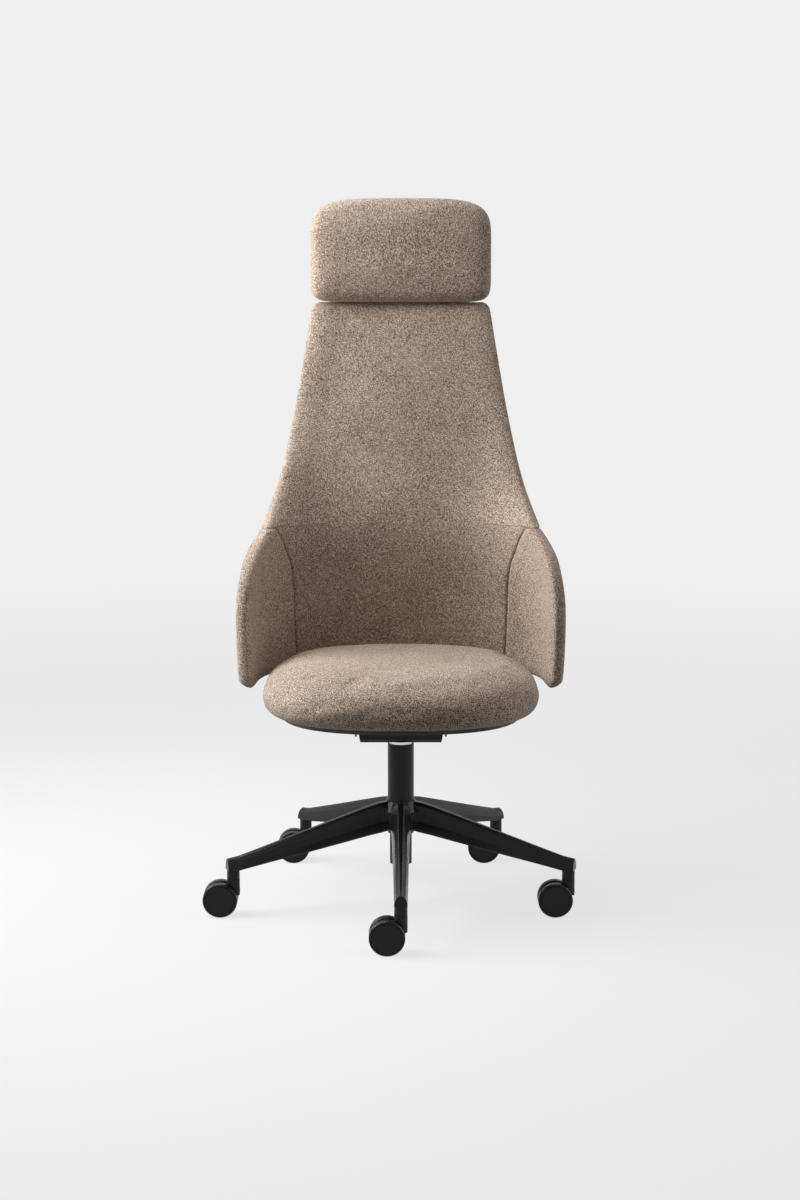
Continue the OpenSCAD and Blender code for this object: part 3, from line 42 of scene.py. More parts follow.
# The shell of the back: its heights and sizes, then its levels. Each level
# holds a height share, the half width, the rim's and the middle's place
# behind the column, and how far round the shell turns forward.
SHELL_LOW, SHELL_HIGH = 0.417, 1.1345
SHELL_WIDTH, SHELL_DEPTH, SHELL_POWER = 0.623, 0.315, 2.6
RIM, SPINE, PAD, CORE, COVER = 0.032, 0.044, 0.020, 0.006, 0.006
ROLL = RIM / 2
WING_TOP = 0.705
SHELL_LEVELS = [
    [0, 0.4815, -0.03, 0.705, 1],
    [0.018, 0.491, -0.035, 0.705, 1],
    [0.06, 0.4955, -0.035, 0.703, 1],
    [0.12, 0.4985, -0.028, 0.698, 1],
    [0.18, 0.5, -0.015, 0.692, 1],
    [0.225, 0.499, 0.002, 0.688, 1],
    [0.262, 0.4945, 0.022, 0.686, 0.995],
    [0.3, 0.4875, 0.065, 0.687, 0.98],
    [0.334, 0.4785, 0.145, 0.689, 0.95],
    [0.366, 0.4612, 0.255, 0.693, 0.9],
    [0.4, 0.4372, 0.375, 0.702, 0.83],
    [0.435, 0.4194, 0.475, 0.713, 0.76],
    [0.47, 0.404, 0.548, 0.727, 0.69],
    [0.51, 0.3885, 0.609, 0.7475, 0.63],
    [0.57, 0.3705, 0.677, 0.783, 0.56],
    [0.64, 0.3535, 0.752, 0.8245, 0.51],
    [0.72, 0.3355, 0.818, 0.863, 0.48],
    [0.8, 0.3195, 0.868, 0.9021, 0.46],
    [0.88, 0.3045, 0.914, 0.9413, 0.45],
    [0.95, 0.2915, 0.9505, 0.9755, 0.44],
    [1, 0.2825, 0.9765, 1, 0.44],
]
# Where the seam between the middle and a wing runs: height share of the
# wing, and share of the way round from the middle to the rim
SEAM = [[0, 0.47], [0.4, 0.474], [0.58, 0.481], [0.73, 0.524], [0.83, 0.605], [0.9, 0.705],
        [0.95, 0.82], [0.985, 0.93], [1, 0.985]]
# Headrest and seat cushion: share of the height or depth, and of the inset
HEADREST_PROFILE = [[0, 0.62], [0.025, 0.36], [0.09, 0.17], [0.2, 0.06], [0.36, 0.008],
                    [0.5, 0], [0.64, 0.012], [0.8, 0.07], [0.91, 0.18], [0.975, 0.36], [1, 0.62]]
SEAT_PROFILE = [[0, 0.105], [0.045, 0.058], [0.15, 0.018], [0.32, 0], [0.5, 0.008],
                [0.66, 0.032], [0.79, 0.078], [0.885, 0.155], [0.95, 0.29], [0.985, 0.5], [1, 0.76]]


def smooth_value(table, s, k):
    """Value in column k at share s, drawn smoothly through the table's rows."""
    s = min(max(s, 0), 1)
    i = max(j for j in range(len(table) - 1) if table[j][0] <= s)
    p, q = table[i], table[i + 1]
    before, after = table[max(i - 1, 0)], table[min(i + 2, len(table) - 1)]
    w = q[0] - p[0]
    x = (s - p[0]) / w
    m = (q[k] - before[k]) / (q[0] - before[0])
    n = (after[k] - p[k]) / (after[0] - p[0])
    return (p[k] * (1 + 2 * x) * (1 - x) ** 2 + m * w * x * (1 - x) ** 2
            + q[k] * x * x * (3 - 2 * x) + n * w * x * x * (x - 1))


def ease(x):
    x = min(max(x, 0), 1)
    return x * x * (3 - 2 * x)


# Surface of the shell

def arc_share(v):
    return max(v, 0) ** (2 / SHELL_POWER)


def shell_level(z):
    """Half lengths, middle and turn of the curve that the front face follows at a height."""
    s = (z - SHELL_LOW) / (SHELL_HIGH - SHELL_LOW)
    half = smooth_value(SHELL_LEVELS, s, 1) * SHELL_WIDTH
    rim = smooth_value(SHELL_LEVELS, s, 2) * SHELL_DEPTH
    mid = smooth_value(SHELL_LEVELS, s, 3) * SHELL_DEPTH
    turn = math.radians(min(smooth_value(SHELL_LEVELS, s, 4), 1) * 90)
    sx, cy = arc_share(math.sin(turn)), arc_share(math.cos(turn))
    b = (mid - rim) / (1 - cy)
    a = (half - ROLL) / sx
    nx, ny = sx ** (SHELL_POWER - 1) / a, cy ** (SHELL_POWER - 1) / b
    a -= ROLL * nx / math.hypot(nx, ny) / sx
    return a, b, mid, turn


def shell_face(z, u):
    """Front face a share u of the way round from the middle to the rim, and the way to the rear."""
    a, b, mid, turn = shell_level(z)
    m = turn * abs(u)
    x, y = arc_share(math.sin(m)), arc_share(math.cos(m))
    nx, ny = x ** (SHELL_POWER - 1) / a, y ** (SHELL_POWER - 1) / b
    q = math.hypot(nx, ny)
    side = -1 if u < 0 else 1
    return Vector((side * a * x, mid - b + b * y, z)), Vector((side * nx / q, ny / q, 0))


def shell_point(z, u, depth):
    place, back = shell_face(z, u)
    return place + depth * back


def shell_thickness(u):
    return RIM + (SPINE - RIM) * max(1 - u * u, 0) ** 2


def rounding(d, r):
    """How far an edge rounded by a radius draws the surface in, at a distance from the edge."""
    return 0 if d >= r else r - math.sqrt(max(r * r - (r - d) ** 2, 0))


# How far the front face's rounding reaches in from the rim's root, and how deep it is
SOFT_REACH, SOFT_DEPTH = 0.034, 0.0145
# The seam's groove, the dent round it, and half its gap
GROOVE_DEPTH, GROOVE_WIDTH = 3.4 * mm, 1.7 * mm
DENT_DEPTH, DENT_WIDTH = 1.2 * mm, 12 * mm
HALF_SEAM = 0.6 * mm


class Level:
    """The front face at one height, measured along its curve from the rim inwards."""

    def __init__(self, z, count=90):
        self.z = z
        self.e = rounding(min(z - SHELL_LOW, SHELL_HIGH - z), ROLL)
        self.shares = [i / count for i in range(count + 1)]
        places = [shell_face(z, u)[0] for u in self.shares]
        self.lengths = [0.0]
        for p, q in zip(places, places[1:]):
            self.lengths.append(self.lengths[-1] + (q - p).length)
        self.whole = self.lengths[-1]

    def share_at(self, length):
        """Share of the way round at a length from the middle."""
        length = min(max(length, 0), self.whole)
        i = next((k for k in range(len(self.lengths) - 1) if self.lengths[k + 1] >= length),
                 len(self.lengths) - 2)
        x = (length - self.lengths[i]) / (self.lengths[i + 1] - self.lengths[i])
        return self.shares[i] + x * (self.shares[i + 1] - self.shares[i])

    def length_at(self, share):
        x = min(max(share, 0), 1) * (len(self.shares) - 1)
        i = min(int(x), len(self.shares) - 2)
        return self.lengths[i] + (x - i) * (self.lengths[i + 1] - self.lengths[i])

    def face(self, side, length, depth):
        return shell_point(self.z, side * self.share_at(length), depth)

    def softness(self, length, draw_in=0.0):
        """How deep the rim's soft rounding lies at a length from the middle."""
        e = self.e + draw_in
        centre = SOFT_DEPTH + (ROLL - SOFT_DEPTH) * min(e / ROLL, 1)
        sine = (length - self.whole + SOFT_REACH) / (SOFT_REACH + ROLL - e)
        return (centre - e) * (1 - math.sqrt(1 - min(max(sine, 0), 1) ** 2))

    def front_of_rim(self, side, start, draw_in, count):
        """Points from a place on the front face out to the rim's outermost line."""
        e = self.e + draw_in
        centre = SOFT_DEPTH + (ROLL - SOFT_DEPTH) * min(e / ROLL, 1)
        place, back = shell_face(self.z, side)
        out = Vector((side * back.y, -side * back.x, 0))
        whole_reach = SOFT_REACH + ROLL - e
        sine = (start - self.whole + SOFT_REACH) / whole_reach
        first = math.asin(min(max(sine, 0), 1))
        points = []
        for k in range(1, count + 1):
            t = first + (math.pi / 2 - first) * k / count
            q = -SOFT_REACH + whole_reach * math.sin(t)
            d = centre - (centre - e) * math.cos(t)
            if q < 0:
                points.append(self.face(side, self.whole + q, d))
            else:
                points.append(place + q * out + d * back)
        return points

    def rear_of_rim(self, side, draw_in, count=7):
        """Points from the rim's outermost line round to the rear."""
        e = self.e + draw_in
        centre = SOFT_DEPTH + (ROLL - SOFT_DEPTH) * min(e / ROLL, 1)
        place, back = shell_face(self.z, side)
        out = Vector((side * back.y, -side * back.x, 0))
        return [place + (ROLL - e) * math.cos(t) * out + (centre + (RIM - e - centre) * math.sin(t)) * back
                for t in (math.pi / 2 * k / count for k in range(1, count + 1))]


def seam_share(z):
    return smooth_value(SEAM, (z - SHELL_LOW) / (WING_TOP - SHELL_LOW), 1)


def seam_dip(distance):
    """How deep the cloth dips towards a seam at a distance from it."""
    return (GROOVE_DEPTH * math.exp(-distance / GROOVE_WIDTH)
            + DENT_DEPTH * math.exp(-distance / DENT_WIDTH))


def crown(z, x):
    """How far the stuffing swells the middle panel forward, a share x of the way to its side."""
    most = (2 + 6 * ease((z - 0.56) / 0.2)) * mm * ease((SHELL_HIGH - z) / 0.06)
    return most * max(1 - x * x, 0) ** 1.5 * ease((z - SHELL_LOW) / 0.03)


def spread(low, high, count, dense_low=0.0, dense_high=0.0):
    """Heights from low to high, with extra ones near a rounded end."""
    steps = [low + (high - low) * i / count for i in range(count + 1)]
    if dense_low:
        steps += [low + dense_low * k for k in (0.03, 0.1, 0.22, 0.4, 0.65, 1)]
    if dense_high:
        steps += [high - dense_high * k for k in (0.03, 0.1, 0.22, 0.4, 0.65, 1)]
    kept = []
    for z in sorted(steps):
        if not kept or z - kept[-1] > 0.25 * mm:
            kept.append(z)
    return kept


# Making of meshes

def lofted(rings):
    """Closed body drawn through rings of points: a circle is placed on the first ring and
    extruded from ring to ring, and both ends are capped."""
    bm = bmesh.new()
    count = len(rings[0])
    made = bmesh.ops.create_circle(bm, cap_ends=False, radius=1, segments=count)
    ring = made["verts"]
    for v, p in zip(ring, rings[0]):
        v.co = p
    edges = list(bm.edges)
    for points in rings[1:]:
        grown = bmesh.ops.extrude_edge_only(bm, edges=edges)["geom"]
        edges = [g for g in grown if isinstance(g, bmesh.types.BMEdge)
                 and not any(v in ring for v in g.verts)]
        fresh = {v for e in edges for v in e.verts}
        ring = [next(e.other_vert(v) for e in v.link_edges if e.other_vert(v) in fresh) for v in ring]
        for v, p in zip(ring, points):
            v.co = p
    bmesh.ops.holes_fill(bm, edges=[e for e in bm.edges if e.is_boundary], sides=0)
    bmesh.ops.recalc_face_normals(bm, faces=bm.faces)
    return bm


def as_object(bm, name, smooth=True):
    mesh = bpy.data.meshes.new(name)
    bm.to_mesh(mesh)
    bm.free()
    if smooth:
        mesh.shade_smooth()
    piece = bpy.data.objects.new(name, mesh)
    bpy.context.scene.collection.objects.link(piece)
    return piece


def apply_modifiers(piece):
    """Makes the shape that a piece's modifiers give its own."""
    graph = bpy.context.evaluated_depsgraph_get()
    graph.update()
    mesh = bpy.data.meshes.new_from_object(piece.evaluated_get(graph))
    piece.modifiers.clear()
    piece.data = mesh


# The frames over which the stuffing swells
SWELLING = 20


def puffed(piece, cell, reach, held, pressure):
    """Stuffs a closed piece: an even mesh swells under pressure as cloth does, each point by
    no more than reach, and the held points stay."""
    even = piece.modifiers.new("even", "REMESH")
    even.mode = "VOXEL"
    even.voxel_size = cell
    apply_modifiers(piece)
    rest = [v.co.copy() for v in piece.data.vertices]
    group = piece.vertex_groups.new(name="held")
    for v in piece.data.vertices:
        if held(v.co) > 0:
            group.add([v.index], min(held(v.co), 1), "REPLACE")
    cloth = piece.modifiers.new("cloth", "CLOTH")
    cloth.settings.use_pressure = True
    cloth.settings.uniform_pressure_force = pressure
    cloth.settings.effector_weights.gravity = 0
    cloth.settings.vertex_group_mass = "held"
    scene = bpy.context.scene
    for step in range(1, SWELLING + 1):
        scene.frame_set(step)
    swollen = piece.evaluated_get(bpy.context.evaluated_depsgraph_get()).data
    moved = [v.co.copy() for v in swollen.vertices]
    piece.modifiers.clear()
    scene.frame_set(1)
    for v, p, q in zip(piece.data.vertices, rest, moved):
        way = q - p
        if way.length > reach:
            way *= reach / way.length
        v.co = p + way
    fine = piece.modifiers.new("fine", "SUBSURF")
    fine.levels = fine.render_levels = 1
    apply_modifiers(piece)
    piece.data.shade_smooth()


def finished(piece, material, body, stands_for):
    """Gives an upholstered piece its cloth and its body, and hides the solids that it stands for."""
    piece.data.materials.clear()
    piece.data.materials.append(material)
    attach(piece, body)
    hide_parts(*stands_for)


# Materials

def new_material(name):
    material = bpy.data.materials.new(name)
    material.use_nodes = True
    tree = material.node_tree
    shader = tree.nodes["Principled BSDF"]
    return material, tree, shader


def add(tree, kind, **values):
    made = tree.nodes.new(kind)
    for key, value in values.items():
        if key in made.inputs:
            made.inputs[key].default_value = value
        else:
            setattr(made, key, value)
    return made


def set_ramp(ramp, stops):
    band = ramp.color_ramp
    while len(band.elements) < len(stops):
        band.elements.new(0.5)
    for element, (place, colour) in zip(band.elements, stops):
        element.position = place
        element.color = (*colour, 1) if len(colour) == 3 else (colour[0],) * 3 + (1,)
    return ramp


def new_group(name, inputs, outputs):
    group = bpy.data.node_groups.new(name, "ShaderNodeTree")
    for title, kind, value in inputs:
        socket = group.interface.new_socket(name=title, in_out="INPUT", socket_type=kind)
        socket.default_value = value
    for title, kind in outputs:
        group.interface.new_socket(name=title, in_out="OUTPUT", socket_type=kind)
    start = group.nodes.new("NodeGroupInput")
    end = group.nodes.new("NodeGroupOutput")
    return group, start, end


def place_group(tree, group, **values):
    made = tree.nodes.new("ShaderNodeGroup")
    made.node_tree = group
    for key, value in values.items():
        made.inputs[key.replace("_", " ")].default_value = value
    return made


def melange_group():
    """Wool felt: pale, middle and dark fibres spun together, with a height for the nap."""
    group, start, end = new_group(
        "melange_wool",
        [("Dark", "NodeSocketColor", (0.10, 0.07, 0.05, 1)),
         ("Middle", "NodeSocketColor", (0.35, 0.26, 0.2, 1)),
         ("Pale", "NodeSocketColor", (0.75, 0.65, 0.56, 1)),
         ("Fleck size", "NodeSocketFloat", 400.0)],
        [("Color", "NodeSocketColor"), ("Height", "NodeSocketFloat"), ("Nap", "NodeSocketFloat")])
    link = group.links.new
    place = add(group, "ShaderNodeTexCoord")
    fleck = add(group, "ShaderNodeTexNoise", Detail=1.5, Roughness=0.55, Distortion=0.35)
    link(place.outputs["Object"], fleck.inputs["Vector"])
    link(start.outputs["Fleck size"], fleck.inputs["Scale"])
    double = add(group, "ShaderNodeMath", operation="MULTIPLY")
    double.inputs[1].default_value = 2.3
    link(start.outputs["Fleck size"], double.inputs[0])
    fibre = add(group, "ShaderNodeTexNoise", Detail=1.0, Roughness=0.5, Distortion=1.2)
    link(place.outputs["Object"], fibre.inputs["Vector"])
    link(double.outputs[0], fibre.inputs["Scale"])
    cloud = add(group, "ShaderNodeTexNoise", Scale=9.0, Detail=2.0, Roughness=0.5)
    link(place.outputs["Object"], cloud.inputs["Vector"])
    # The flecks decide which fibre shows, and the clouds shift the mixture a little
    mixed = add(group, "ShaderNodeMath", operation="MULTIPLY_ADD")
    mixed.inputs[1].default_value = 0.35
    link(fibre.outputs["Fac"], mixed.inputs[0])
    part = add(group, "ShaderNodeMath", operation="MULTIPLY")
    part.inputs[1].default_value = 0.65
    link(fleck.outputs["Fac"], part.inputs[0])
    link(part.outputs[0], mixed.inputs[2])
    shift = add(group, "ShaderNodeMath", operation="MULTIPLY_ADD")
    shift.inputs[1].default_value = 0.05
    link(cloud.outputs["Fac"], shift.inputs[0])
    link(mixed.outputs[0], shift.inputs[2])
    dark = add(group, "ShaderNodeMapRange", clamp=True)
    dark.inputs["From Min"].default_value = 0.475
    dark.inputs["From Max"].default_value = 0.515
    link(shift.outputs[0], dark.inputs["Value"])
    pale = add(group, "ShaderNodeMapRange", clamp=True)
    pale.inputs["From Min"].default_value = 0.54
    pale.inputs["From Max"].default_value = 0.585
    link(shift.outputs[0], pale.inputs["Value"])
    low = add(group, "ShaderNodeMix", data_type="RGBA")
    link(dark.outputs[0], low.inputs["Factor"])
    link(start.outputs["Dark"], low.inputs[6])
    link(start.outputs["Middle"], low.inputs[7])
    high = add(group, "ShaderNodeMix", data_type="RGBA")
    link(pale.outputs[0], high.inputs["Factor"])
    link(low.outputs[2], high.inputs[6])
    link(start.outputs["Pale"], high.inputs[7])
    link(high.outputs[2], end.inputs["Color"])
    link(mixed.outputs[0], end.inputs["Height"])
    nap = add(group, "ShaderNodeMapRange", clamp=True)
    nap.inputs["From Min"].default_value = 0.35
    nap.inputs["From Max"].default_value = 0.65
    nap.inputs["To Min"].default_value = 0.97
    nap.inputs["To Max"].default_value = 0.82
    link(fibre.outputs["Fac"], nap.inputs["Value"])
    link(nap.outputs[0], end.inputs["Nap"])
    return group


def grain_wear_and_highlight_group():
    """Lighter edges of a finish, partly rubbed by use and partly a painted highlight, broken up by smudges,
    and the fine grain of its surface.
    """
    group, start, end = new_group(
        "grain_wear_and_painted_highlight",
        [("Grain size", "NodeSocketFloat", 600.0), ("Edge", "NodeSocketFloat", 0.0012)],
        [("Wear and highlight", "NodeSocketFloat"), ("Grain", "NodeSocketFloat"), ("Smudge", "NodeSocketFloat")])
    link = group.links.new
    place = add(group, "ShaderNodeTexCoord")
    grain = add(group, "ShaderNodeTexNoise", Detail=3.0, Roughness=0.55)
    link(place.outputs["Object"], grain.inputs["Vector"])
    link(start.outputs["Grain size"], grain.inputs["Scale"])
    smudge = add(group, "ShaderNodeTexNoise", Scale=22.0, Detail=4.0, Roughness=0.6)
    link(place.outputs["Object"], smudge.inputs["Vector"])
    rounded = add(group, "ShaderNodeBevel", samples=4)
    link(start.outputs["Edge"], rounded.inputs["Radius"])
    flat = add(group, "ShaderNodeNewGeometry")
    dot = add(group, "ShaderNodeVectorMath", operation="DOT_PRODUCT")
    link(rounded.outputs["Normal"], dot.inputs[0])
    link(flat.outputs["Normal"], dot.inputs[1])
    edge = add(group, "ShaderNodeMapRange", clamp=True)
    edge.inputs["From Min"].default_value = 0.995
    edge.inputs["From Max"].default_value = 0.86
    link(dot.outputs["Value"], edge.inputs["Value"])
    broken_wear_and_highlight = add(group, "ShaderNodeMath", operation="MULTIPLY")
    link(edge.outputs[0], broken_wear_and_highlight.inputs[0])
    link(smudge.outputs["Fac"], broken_wear_and_highlight.inputs[1])
    link(broken_wear_and_highlight.outputs[0], end.inputs["Wear and highlight"])
    link(grain.outputs["Fac"], end.inputs["Grain"])
    link(smudge.outputs["Fac"], end.inputs["Smudge"])
    return group


MELANGE = melange_group()
GRAIN_WEAR_AND_HIGHLIGHT = grain_wear_and_highlight_group()


def wool_cloth(name):
    material, tree, shader = new_material(name)
    link = tree.links.new
    wool = place_group(tree, MELANGE, Fleck_size=720.0)
    wool.inputs["Dark"].default_value = (0.065, 0.038, 0.025, 1)
    wool.inputs["Middle"].default_value = (0.355, 0.25, 0.187, 1)
    wool.inputs["Pale"].default_value = (0.92, 0.77, 0.64, 1)
    link(wool.outputs["Color"], shader.inputs["Base Color"])
    link(wool.outputs["Nap"], shader.inputs["Roughness"])
    bump = add(tree, "ShaderNodeBump", Strength=0.55, Distance=0.0009)
    link(wool.outputs["Height"], bump.inputs["Height"])
    link(bump.outputs["Normal"], shader.inputs["Normal"])
    shader.inputs["Specular IOR Level"].default_value = 0.18
    shader.inputs["Sheen Weight"].default_value = 0.28
    shader.inputs["Sheen Roughness"].default_value = 0.45
    shader.inputs["Sheen Tint"].default_value = (1.0, 0.9, 0.8, 1)
    return material


# How far a coat's roughness varies to either side
UNEVEN_GLOSS = 0.06


def coated(name, colour, wear_and_highlight_colour, roughness, grain_size=700.0, grain_depth=0.00004,
           edge=0.0012, specular=0.5, coat=0.0):
    """Black or grey finish with a fine grain, uneven gloss, and edges painted lighter, partly as wear from
    use and partly as a painted highlight.
    """
    material, tree, shader = new_material(name)
    link = tree.links.new
    grain_wear_highlight_node = place_group(tree, GRAIN_WEAR_AND_HIGHLIGHT, Grain_size=grain_size, Edge=edge)
    # The edges get a second, lighter colour: partly rubbed wear, partly a painted highlight along them
    tone = add(tree, "ShaderNodeMix", data_type="RGBA")
    tone.inputs[6].default_value = (*colour, 1)
    tone.inputs[7].default_value = (*wear_and_highlight_colour, 1)
    link(grain_wear_highlight_node.outputs["Wear and highlight"], tone.inputs["Factor"])
    link(tone.outputs[2], shader.inputs["Base Color"])
    gloss = add(tree, "ShaderNodeMapRange", clamp=True)
    gloss.inputs["From Min"].default_value = 0.3
    gloss.inputs["From Max"].default_value = 0.7
    gloss.inputs["To Min"].default_value = roughness - UNEVEN_GLOSS
    gloss.inputs["To Max"].default_value = roughness + UNEVEN_GLOSS
    link(grain_wear_highlight_node.outputs["Smudge"], gloss.inputs["Value"])
    link(gloss.outputs[0], shader.inputs["Roughness"])
    soft_edge = add(tree, "ShaderNodeBevel", samples=4)
    soft_edge.inputs["Radius"].default_value = edge
    bump = add(tree, "ShaderNodeBump", Strength=0.5, Distance=grain_depth)
    link(grain_wear_highlight_node.outputs["Grain"], bump.inputs["Height"])
    link(soft_edge.outputs["Normal"], bump.inputs["Normal"])
    link(bump.outputs["Normal"], shader.inputs["Normal"])
    shader.inputs["Specular IOR Level"].default_value = specular
    shader.inputs["Coat Weight"].default_value = coat
    shader.inputs["Coat Roughness"].default_value = 0.08
    return material


def turned_steel(name, colour, roughness):
    """Bright metal with fine marks of the lathe or the grinding belt round it."""
    material, tree, shader = new_material(name)
    link = tree.links.new
    place = add(tree, "ShaderNodeTexCoord")
    turn = add(tree, "ShaderNodeMapping")
    turn.inputs["Scale"].default_value = (40.0, 40.0, 2600.0)
    link(place.outputs["Object"], turn.inputs["Vector"])
    marks = add(tree, "ShaderNodeTexNoise", Scale=1.0, Detail=2.0, Roughness=0.6)
    link(turn.outputs["Vector"], marks.inputs["Vector"])
    tone = set_ramp(add(tree, "ShaderNodeValToRGB"),
                    [(0.3, [c * 0.85 for c in colour]), (0.7, list(colour))])
    link(marks.outputs["Fac"], tone.inputs["Fac"])
    link(tone.outputs["Color"], shader.inputs["Base Color"])
    gloss = add(tree, "ShaderNodeMapRange")
    gloss.inputs["To Min"].default_value = roughness * 0.8
    gloss.inputs["To Max"].default_value = roughness * 1.25
    link(marks.outputs["Fac"], gloss.inputs["Value"])
    link(gloss.outputs[0], shader.inputs["Roughness"])
    bump = add(tree, "ShaderNodeBump", Strength=0.15, Distance=0.00003)
    link(marks.outputs["Fac"], bump.inputs["Height"])
    link(bump.outputs["Normal"], shader.inputs["Normal"])
    shader.inputs["Metallic"].default_value = 1.0
    return material


def plywood(name):
    material, tree, shader = new_material(name)
    link = tree.links.new
    place = add(tree, "ShaderNodeTexCoord")
    turn = add(tree, "ShaderNodeMapping")
    turn.inputs["Scale"].default_value = (60.0, 400.0, 6.0)
    link(place.outputs["Object"], turn.inputs["Vector"])
    grain = add(tree, "ShaderNodeTexNoise", Scale=1.0, Detail=5.0, Roughness=0.6, Distortion=0.6)
    link(turn.outputs["Vector"], grain.inputs["Vector"])
    tone = set_ramp(add(tree, "ShaderNodeValToRGB"),
                    [(0.32, (0.32, 0.19, 0.09)), (0.55, (0.52, 0.35, 0.19)), (0.75, (0.62, 0.44, 0.26))])
    link(grain.outputs["Fac"], tone.inputs["Fac"])
    link(tone.outputs["Color"], shader.inputs["Base Color"])
    bump = add(tree, "ShaderNodeBump", Strength=0.3, Distance=0.0002)
    link(grain.outputs["Fac"], bump.inputs["Height"])
    link(bump.outputs["Normal"], shader.inputs["Normal"])
    shader.inputs["Roughness"].default_value = 0.6
    return material


cloth = wool_cloth("melange_wool_cloth")
cast_black = coated("cast_aluminium_black", (0.011, 0.011, 0.012), (0.2, 0.2, 0.205), 0.27,
                    grain_size=900.0, grain_depth=0.00003, edge=0.0016, specular=0.2)
steel_black = coated("powder_coated_steel", (0.012, 0.012, 0.013), (0.1, 0.1, 0.1), 0.42,
                     grain_size=1400.0, grain_depth=0.00006, edge=0.0008)
tube_black = coated("column_black", (0.012, 0.012, 0.0125), (0.1, 0.1, 0.1), 0.36,
                    grain_size=1500.0, grain_depth=0.00005, edge=0.0006, specular=0.22)
plastic_black = coated("textured_plastic_black", (0.013, 0.013, 0.014), (0.03, 0.03, 0.03), 0.55,
                       grain_size=1800.0, grain_depth=0.0001, edge=0.001, specular=0.22)
plastic_grey = coated("smooth_acetal", (0.1, 0.1, 0.105), (0.16, 0.16, 0.16), 0.4,
                      grain_size=900.0, grain_depth=0.00003, edge=0.0006)
wheel_black = coated("wheel_black", (0.011, 0.011, 0.012), (0.045, 0.045, 0.045), 0.34,
                     grain_size=1300.0, grain_depth=0.00005, edge=0.0006, specular=0.2,
                     coat=0.03)
rubber = coated("moulded_rubber", (0.016, 0.016, 0.016), (0.03, 0.03, 0.03), 0.7,
                grain_size=1200.0, grain_depth=0.0001)
chrome = turned_steel("chrome", (0.78, 0.78, 0.79), 0.12)
ground_steel = turned_steel("ground_steel", (0.6, 0.6, 0.6), 0.28)
spring_steel = turned_steel("oiled_spring_wire", (0.2, 0.2, 0.21), 0.3)
zinc_black = turned_steel("black_zinc", (0.16, 0.16, 0.165), 0.35)
wood = plywood("moulded_plywood")

FINISH = {
    cast_black: ["star_base", "mechanism_housing"],
    steel_black: ["seat_plate", "back_carrier", "back_bracket", "spring_seat"],
    tube_black: ["column_tube"],
    ground_steel: ["retaining_clip", "piston_rod", "front_axle", "main_axle", "axle_clips",
                   "link_pin", "lever_pivot_pin", "thrust_bearing", "release_button"]
    + [f"caster_{k}_pins" for k in range(1, 6)],
    chrome: ["gas_cylinder", "column_collar", "headrest_stem"],
    spring_steel: ["recline_spring"],
    zinc_black: ["preload_screws", "seat_screws", "bracket_screws"],
    plastic_black: ["seat_pan", "height_lever", "lock_lever"]
    + [f"caster_{k}_housing" for k in range(1, 6)],
    plastic_grey: ["guide_bush", "socket_sleeves", "piston", "headrest_guide"],
    rubber: ["rubber_buffer"],
    wheel_black: [f"wheel_{k}_{s}" for s in ("left", "right") for k in range(1, 6)],
    wood: ["seat_board", "core_shell", "headrest_core"],
    cloth: ["seat_cushion", "back_pad", "wing_pad_left", "wing_pad_right", "back_cover",
            "headrest_cushion"],
}
for material, names in FINISH.items():
    for name in names:
        piece = nodes[name]
        if not piece.data.materials:
            piece.data.materials.append(material)
        for place in piece.material_slots:
            place.material = material


# Upholstery of the back

def clear_of_seam(z):
    """How far a panel's edge keeps from the seam's middle, as a share of the way round."""
    a, b = shell_level(z)[:2]
    return HALF_SEAM / (a + b)


def middle_rings():
    """Rings of the middle panel, from the lower edge up: front face, sides or rims, rear face."""
    rings = []
    levels = spread(SHELL_LOW + 0.2 * mm, WING_TOP - 0.3 * mm, 40, dense_low=ROLL, dense_high=10 * mm)
    levels += spread(WING_TOP + 0.3 * mm, SHELL_HIGH - 0.15 * mm, 52, dense_low=8 * mm,
                     dense_high=ROLL)
    front, side_count, rear_count, stub = 64, 20, 12, 0.95
    for z in levels:
        level = Level(z)
        high = z > WING_TOP
        e = level.e
        ring = []
        if high:
            dip = seam_dip(z - WING_TOP)
            reach = level.whole - SOFT_REACH
            for i in range(-front, front + 1):
                length = reach * (1 - (1 - abs(i) / front) ** 1.2)
                near_wing = ease((length / level.whole - 0.8) / 0.12)
                ring.append(level.face(math.copysign(1, i), length,
                                       e + dip * near_wing - crown(z, length / reach)))
            over = z > SHELL_HIGH - ROLL
            deep = RIM - e

            def side(s):
                tail = [shell_point(z, s * 0.975, deep), shell_point(z, s * stub, deep if over else PAD)]
                return level.front_of_rim(s, 0, dip, 11) + level.rear_of_rim(s, dip) + tail
            rear = []
            for i in range(rear_count, -rear_count - 1, -1):
                u = stub * i / rear_count * 0.985
                rear.append(shell_point(z, u, shell_thickness(u) - e if over else PAD))
        else:
            us = seam_share(z) - clear_of_seam(z)
            width = level.length_at(us)
            for i in range(-front, front + 1):
                share = 1 - (1 - abs(i) / front) ** 1.35
                length = width * share
                ring.append(level.face(math.copysign(1, i), length, e + level.softness(length)
                                       + seam_dip(width - length) - crown(z, share)))
            start = e + level.softness(width) + seam_dip(0)

            def side(s):
                return [shell_point(z, s * us, start + (PAD - start) * (k + 1) / (side_count + 1))
                        for k in range(side_count)]
            rear = [shell_point(z, us * i / (rear_count + 0.3), PAD)
                    for i in range(rear_count, -rear_count - 1, -1)]
        ring += side(1) + rear + side(-1)[::-1]
        rings.append(ring)
    return rings


